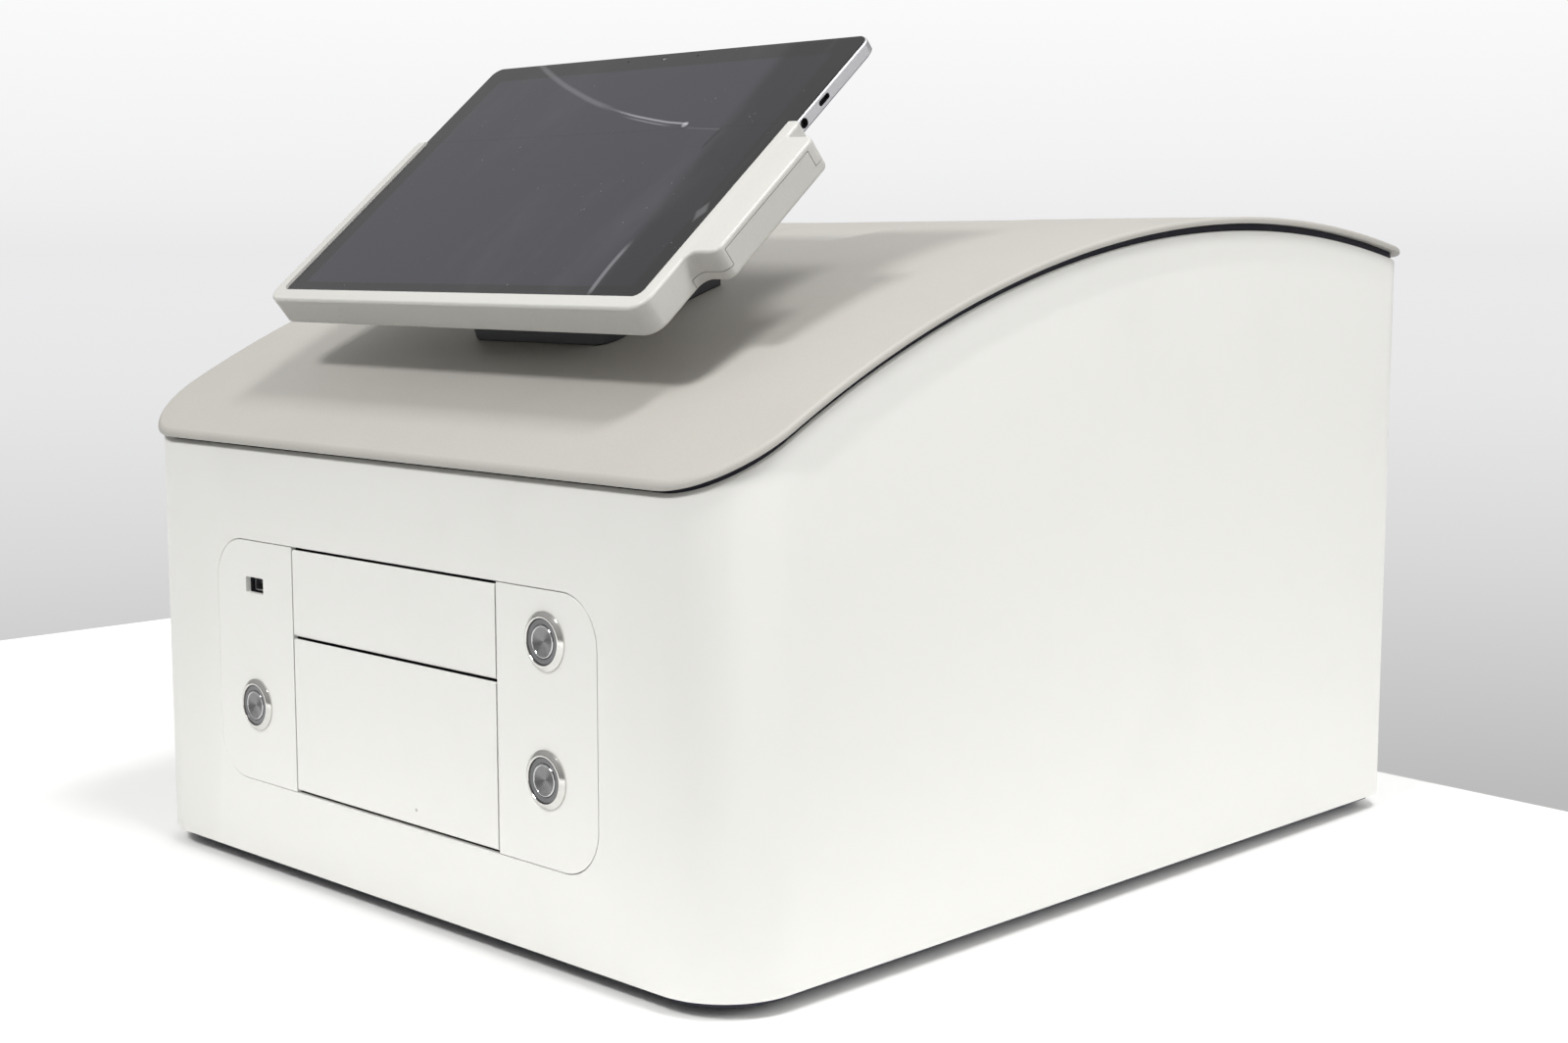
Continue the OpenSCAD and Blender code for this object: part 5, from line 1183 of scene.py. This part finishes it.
@dataclass
class RearPanel:
    """Rear sheet with its screws, the fan, the mains inlet, its switch and the network socket."""

    robot: Robot
    face_y: float = 275.5
    screw_columns: tuple[float, ...] = (-173.0, 0.0, 173.0)
    screw_rows: tuple[float, ...] = (41.0, 142.0, 243.0)

    def build(self) -> None:
        """Builds the rear pieces."""
        self._screws()
        self.robot.dress((
            ("rear_panel", Tone.HOUSING, 0.25), ("fan_housing", Tone.BLACK, 0.3),
            ("fan_rotor", Tone.BLACK, 0.2), ("fan_guard", Tone.STEEL, 0.0),
            ("power_rocker", Tone.BLACK, 0.25), ("network_port", Tone.STEEL, 0.15)))
        blades = [Zone(1, (x - 1.1, 260.0, z - 2.1), (x + 1.1, 274.0, z + 2.1))
                  for x, z in ((-133.0, 59.5), (-140.0, 63.5), (-147.0, 59.5))]
        self.robot.surfaced("mains_inlet", (Tone.BLACK, Tone.STEEL), 0.2, blades)

    def _screws(self) -> None:
        """Button-head screws with a recess each, round the sheet's edge."""
        profile = ((0.0, 0.02), (2.85, 0.02), (2.85, 0.35), (2.6, 0.85), (2.0, 1.25), (1.55, 1.4),
                   (1.35, 1.4), (1.3, 0.5), (0.0, 0.45))
        middle = (self.screw_columns[1], self.screw_rows[1])
        spots = [(x, z) for x in self.screw_columns for z in self.screw_rows if (x, z) != middle]
        for x, z in spots:
            place = about_axis((x, self.face_y, z), (0, 1, 0), x + z)
            name = f"panel_screw_{x:.0f}_{z:.0f}"
            screw = new_piece(name, lathe(profile, 24), (Tone.STEEL,), place)
            self.robot.carry(screw, self.robot.body_of["rear_panel"])


@dataclass
class TabletStand:
    """Foot, swivelling yoke, pin and tilt plate under the cradle."""

    robot: Robot
    foot_plan: Outline = Outline((Corner(-60, -220, 2), Corner(72, -220, 2), Corner(72, -103, 30),
                                  Corner(-60, -103, 30)), 16)

    def build(self) -> None:
        """Builds the stand's pieces."""
        foot = self.robot.surfaced("stand_foot", (Tone.BLACK,), 0.8, segments=3)
        combine(foot, self.foot_plan.prism(0, 200, 400), "INTERSECT")
        self.robot.dress((
            ("stand_backing_plate", Tone.ALUMINIUM, 0.3), ("stand_yoke", Tone.BLACK, 0.8),
            ("tilt_pin", Tone.STEEL, 0.5), ("tilt_bracket", Tone.BLACK, 0.6)), 3)


@dataclass
class Cradle:
    """The moulded cradle with its connector module, in the tablet's own plane."""

    robot: Robot
    place: Matrix
    front: float = 1.6
    rear: float = -15.7
    front_roll: float = 1.6
    rear_roll: float = 2.0
    cover_front: float = -10.0
    panel_front: float = -1.2
    seam: float = 0.35
    plan: Outline = Outline((Corner(-150.45, -103.3, 10), Corner(150.45, -103.3, 10),
                             Corner(150.45, -64.5, 5), Corner(168.45, -64.5, 5),
                             Corner(168.45, 18.7, 5), Corner(150.45, 18.7, 2.5),
                             Corner(150.45, 31.5, 4), Corner(-150.45, 31.5, 4)), 12)
    window: Outline = Outline((Corner(-143.05, -95.2, 5), Corner(143.05, -95.2, 5),
                               Corner(143.05, 60, 1), Corner(-143.05, 60, 1)), 8)
    pocket: Outline = Outline((Corner(-146.35, -101.0, 7.3), Corner(146.35, -101.0, 7.3),
                               Corner(146.35, 60, 1), Corner(-146.35, 60, 1)), 8)

    def build(self) -> None:
        """Builds frame and cover and dresses the plug."""
        frame = self._frame()
        self.robot.carry(softened(frame, 0.3, 2, 40.0), "tablet_head", "cradle_frame")
        cover = self._cover()
        self.robot.carry(softened(cover, 0.25, 2, 40.0), "tablet_head", "cradle_cover")
        self.robot.surfaced("dock_plug", (Tone.BLACK,), 0.3)

    def _frame(self) -> Piece:
        """The cup with its rolled rims, hollowed for the tablet and for the cover.

        Returns:
            The piece.
        """
        rings = self._rim(self.rear, self.rear_roll, 1) + self._rim(self.front, self.front_roll, -1)
        frame = new_piece("cradle_moulding", loft(rings), (Tone.CRADLE,), self.place)
        combine(frame, self.window.prism(0, -2.0, 9.0))
        combine(frame, self.pocket.prism(0, -8.7, 0.0))
        combine(frame, self._module(0.0).prism(0, -30, self.cover_front))
        combine(frame, self._panel(0.0, 200).prism(0, -30, self.panel_front))
        return frame

    def _cover(self) -> Piece:
        """The module's rear cover with the panel that comes up its side.

        Returns:
            The piece.
        """
        rings = self._rim(self.rear, self.rear_roll, 1)
        rings += self.plan.stack(((0, self.cover_front - self.seam),))
        cover = new_piece("module_cover", loft(rings), (Tone.CRADLE,), self.place)
        combine(cover, self._module(self.seam).prism(0, -30, 0), "INTERSECT")
        side = self._panel(self.seam, 168.45)
        return combine(cover, side.prism(0, self.rear + 3, self.panel_front - self.seam), "UNION")

    @staticmethod
    def _module(gap: float) -> Outline:
        """The cover's region, a gap inside its opening, running out past the module's side."""
        return Outline.span(142.35 + gap, -71.0 + gap, 200, 25.2 - gap)

    @staticmethod
    def _panel(gap: float, right: float) -> Outline:
        """The side panel's section, a gap inside its recess, as far as its right end."""
        return Outline.span(166.95 + gap, -59.5 + gap, right, 10.7 - gap)

    def _rim(self, edge: float, roll: float, inwards: int) -> list[list[Point]]:
        """Rings round a rolled rim, from the rear to the front.

        Args:
            edge: Height of the face that the rim borders.
            roll: The rim's radius.
            inwards: 1 for the rear rim, -1 for the front one.

        Returns:
            The rings.
        """
        angles = [math.radians(11.25 * k) for k in range(9)][::inwards]
        return self.plan.stack([(roll * (1 - math.sin(angle)),
                                 edge + inwards * (roll * (1 - math.cos(angle))))
                                for angle in angles])


@dataclass
class Tablet:
    """The tablet: alloy case with a polished edge, and its cover glass."""

    robot: Robot
    place: Matrix
    half_w: float = 146.05
    half_h: float = 100.7
    corner_r: float = 7.0
    ports: tuple[tuple[float, float, float, float], ...] = (
        (49.6, 58.4, -5.2, -2.4), (33.2, 38.6, -6.2, -1.6))
    port_depth: float = 3.0
    edge_rear: float = -1.34
    seam_front: float = -6.75
    holes: tuple[Flat, ...] = ((-27.3, 0.55), (1.5, 1.6), (27.3, 0.55))
    hole_row: float = 95.4

    def build(self) -> None:
        """Builds case, glass, camera lens and kickstand."""
        w, h = self.half_w, self.half_h
        outline = Outline.span(-w, -h, w, h, self.corner_r, 14)
        self._case(outline)
        self._glass(outline)
        lens = ((0.0, -0.62), (1.35, -0.62), (1.35, -0.2), (1.2, -0.08), (0.8, -0.08), (0.6, -0.3),
                (0.0, -0.4))
        camera_x = self.holes[1][0]
        centre = self.place @ Matrix.Translation(Vector((camera_x, self.hole_row, 0)) * MM)
        camera = new_piece("tablet_camera", lathe(lens, 32), (Tone.RING,), centre)
        self.robot.carry(camera, "tablet_head", "tablet_glass")
        self.robot.surfaced("tablet_kickstand", (Tone.TABLET,), 0.3)

    def _case(self, outline: Outline) -> None:
        """The alloy case: a polished front edge, a dark rear one and two ports.

        Args:
            outline: The tablet's outline.
        """
        section = ((2.2, -8.5), (0.4, -7.1), (0.0, -6.7), (0.0, -1.35), (0.12, -1.1), (0.5, -0.66),
                   (0.62, -0.6), (0.78, -0.6), (0.82, -0.7), (0.82, -1.2))
        case = loft(outline.stack(section))
        for face in case.faces:
            height = face.calc_center_median().z / MM
            band = 1 if height > self.edge_rear else 2 if height < self.seam_front else 0
            face.material_index = band if len(face.verts) == 4 else 0
        tones = (Tone.TABLET, Tone.TABLET_EDGE, Tone.TABLET_SEAM, Tone.BLACK)
        body = new_piece("tablet_case", case, tones, self.place)
        for port in self.ports:
            combine(body, self._slot(*port))
        for face in body.data.polygons:
            x, y, z = face.center / MM
            inside = any(low - 0.1 < y < high + 0.1 for low, high, _, _ in self.ports)
            if inside and 0.05 < self.half_w - x < self.port_depth + 0.1 and -6.8 < z < -1.0:
                face.material_index = 3
        self.robot.carry(body, "tablet_head", "tablet_body")

    def _glass(self, outline: Outline) -> None:
        """The cover glass, with holes for camera and microphones.

        Args:
            outline: The tablet's outline.
        """
        pane = ((0.85, -0.9), (0.85, -0.2), (0.93, -0.06), (1.1, -0.01))
        glass = loft(outline.stack(pane))
        cover = new_piece("tablet_cover_glass", glass, (Tone.GLASS,), self.place)
        for x, radius in self.holes:
            hole = lathe(((0.0, -0.6), (radius, -0.6), (radius, 1.0), (0.0, 1.0)), 24)
            bmesh.ops.translate(hole, verts=hole.verts, vec=Vector((x, self.hole_row, 0)) * MM)
            combine(cover, hole)
        self.robot.carry(cover, "tablet_head", "tablet_glass")

    def _slot(self, low: float, high: float, rear: float, front: float) -> Shape:
        """A port's recess in the right side, with round ends.

        Args:
            low: Its lower end along the side.
            high: Its upper end.
            rear: Its rear edge.
            front: Its front edge.

        Returns:
            The shape to take out.
        """
        oval = Outline.span(rear, low, front, high, (front - rear) / 2 - 0.05, 8)
        slot = oval.prism(0, 0, 6.0)
        for vert in slot.verts:
            across, along, deep = vert.co
            vert.co = Vector(((self.half_w - self.port_depth) * MM + deep, along, across))
        outward(slot)
        return slot


@dataclass(frozen=True)
class Lamp:
    """A soft rectangular light: its place and size in metres and its power in watts."""

    name: str
    at: Point
    size: Flat
    power: float
    mirrored: bool = True


@dataclass
class Studio:
    """Pale floor, soft light and the camera."""

    camera_at: Point = (0.8855, -0.9046, 0.3314)
    look_down: float = 6.98
    look_left: float = 44.40
    lens: float = 50.42
    sensor: float = 36.0
    aim: Point = (0.0, -0.05, 0.25)
    lamps: tuple[Lamp, ...] = (
        Lamp("panel_overhead", (0.92, -0.20, 2.25), (0.55, 0.40), 24.0),
        Lamp("panel_front", (0.25, -1.95, 2.05), (0.60, 0.35), 35.5),
        Lamp("panel_right", (2.55, 0.45, 1.15), (1.30, 1.00), 20.0),
        Lamp("panel_rear", (-1.50, 2.10, 1.10), (1.50, 1.00), 14.0, False))

    def build(self) -> None:
        """Builds the set."""
        self._floor()
        self._world()
        for lamp in self.lamps:
            self._light(lamp)
        scene = bpy.context.scene
        scene.view_settings.view_transform = "Standard"
        camera = bpy.data.cameras.new("camera")
        camera.lens = self.lens
        camera.sensor_width = self.sensor
        camera.sensor_fit = "HORIZONTAL"
        camera.clip_start = 0.05
        holder = bpy.data.objects.new("camera", camera)
        holder.location = self.camera_at
        tilt, turn = math.radians(90 - self.look_down), math.radians(self.look_left)
        holder.rotation_euler = (tilt, 0, turn)
        scene.collection.objects.link(holder)
        scene.camera = holder

    @staticmethod
    def _floor() -> None:
        """A wide disc round the machine."""
        bm = bmesh.new()
        bmesh.ops.create_circle(bm, cap_ends=True, segments=128, radius=14.0)
        mesh = bpy.data.meshes.new("floor")
        bm.to_mesh(mesh)
        bm.free()
        mesh.materials.append(Studio._table())
        floor = bpy.data.objects.new("floor", mesh)
        bpy.context.scene.collection.objects.link(floor)

    @staticmethod
    def _table() -> Material:
        """A white table and, past its left and rear edges, the wall as a camera sees it.

        Far from the machine the table shows white but sends little light back.

        Returns:
            The material.
        """
        look = Look("floor_paper")
        x, y, _ = look.axes()
        away = (x * x + y * y) ** 0.5
        paper = look.blend(look.noise(3.0, 4.0, 0.6), (0.89, 0.89, 0.885), (0.92, 0.92, 0.91))
        dull = (1 - look.seen()) * away.step(0.42, 0.80)
        table = look.blend(dull, paper, (0.10, 0.10, 0.10))
        glow = look.blend(away.step(0.44, 1.6) * look.seen(), (0, 0, 0), (0.55, 0.55, 0.55))
        back = look.node("ShaderNodeNewGeometry", {}, {}, "Incoming")
        towards_x, towards_y, rise = look.axes(back)
        past_rear = (y + x * 0.1).step(0.368, 0.372) * towards_y.step(0.0, -0.02)
        past_left = x.step(-0.898, -0.902) * towards_x.step(0.0, 0.02)
        beyond = (past_rear + past_left).step(0.0, 1.0) * rise.step(0.34, 0.27)
        wall = beyond * look.node("ShaderNodeLightPath", {}, {}, "Is Camera Ray")
        tint = look.node("ShaderNodeValToRGB", {"stops": (
            (0.0, (0.796, 0.796, 0.806)), (0.06, (0.768, 0.768, 0.773)), (0.13, (0.67, 0.67, 0.67)),
            (0.23, (0.485, 0.485, 0.485)))}, {0: rise})
        look.feed("Base Color", look.blend(wall, table, (0, 0, 0)))
        look.feed("Emission Color", look.blend(wall, glow, tint))
        look.set(Roughness=0.7, Specular_IOR_Level=0.1, Emission_Strength=1.0)
        return look.material

    @staticmethod
    def _world() -> None:
        """Soft light, brighter from above, and a pale wall where it is seen."""
        world = bpy.data.worlds.new("studio")
        world.use_nodes = True
        graph = Graph(world.node_tree)
        _, _, height = graph.axes(graph.place("Generated"))
        lights = ((0.0, (0.34, 0.34, 0.34)), (0.35, (0.48, 0.48, 0.48)), (1.0, (0.62, 0.62, 0.62)))
        walls = ((0.0, (0.82, 0.82, 0.83)), (0.04, (0.89, 0.89, 0.896)),
                 (0.11, (0.96, 0.96, 0.962)))
        light, wall = (graph.node("ShaderNodeValToRGB", {"stops": stops}, {0: height})
                       for stops in (lights, walls))
        camera = graph.node("ShaderNodeLightPath", {}, {}, "Is Camera Ray")
        colour = graph.blend(camera, light, wall)
        sky = graph.node("ShaderNodeBackground", {}, {"Color": colour})
        graph.node("ShaderNodeOutputWorld", {}, {"Surface": sky})
        bpy.context.scene.world = world

    def _light(self, lamp: Lamp) -> None:
        """Adds a lamp that points at the machine.

        Args:
            lamp: The lamp.
        """
        light = bpy.data.lights.new(lamp.name, "AREA")
        light.shape = "RECTANGLE"
        light.size, light.size_y = lamp.size
        light.energy = lamp.power
        holder = bpy.data.objects.new(lamp.name, light)
        holder.visible_glossy = lamp.mirrored
        holder.location = lamp.at
        way = Vector(self.aim) - Vector(lamp.at)
        holder.rotation_euler = way.to_track_quat("-Z", "Y").to_euler()
        bpy.context.scene.collection.objects.link(holder)


# ---- The whole machine -----------------------------------------------------------


def main() -> None:
    """Builds every sub-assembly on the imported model."""
    logging.basicConfig(level=logging.INFO, format="%(message)s")
    robot = Robot(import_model())
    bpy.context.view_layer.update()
    Studio().build()
    screen = Matrix.Translation(Vector(SCREEN_MIDDLE) * MM)
    screen = screen @ Matrix.Rotation(math.radians(SCREEN_TILT), 4, "X")
    housing = Housing(robot)
    parts = (housing, Hood(robot, housing), FrontPanel(robot), PushButtons(robot), Mechanism(robot),
             RearPanel(robot), TabletStand(robot), Cradle(robot, screen), Tablet(robot, screen))
    for part in parts:
        part.build()


if __name__ == "__main__":
    main()
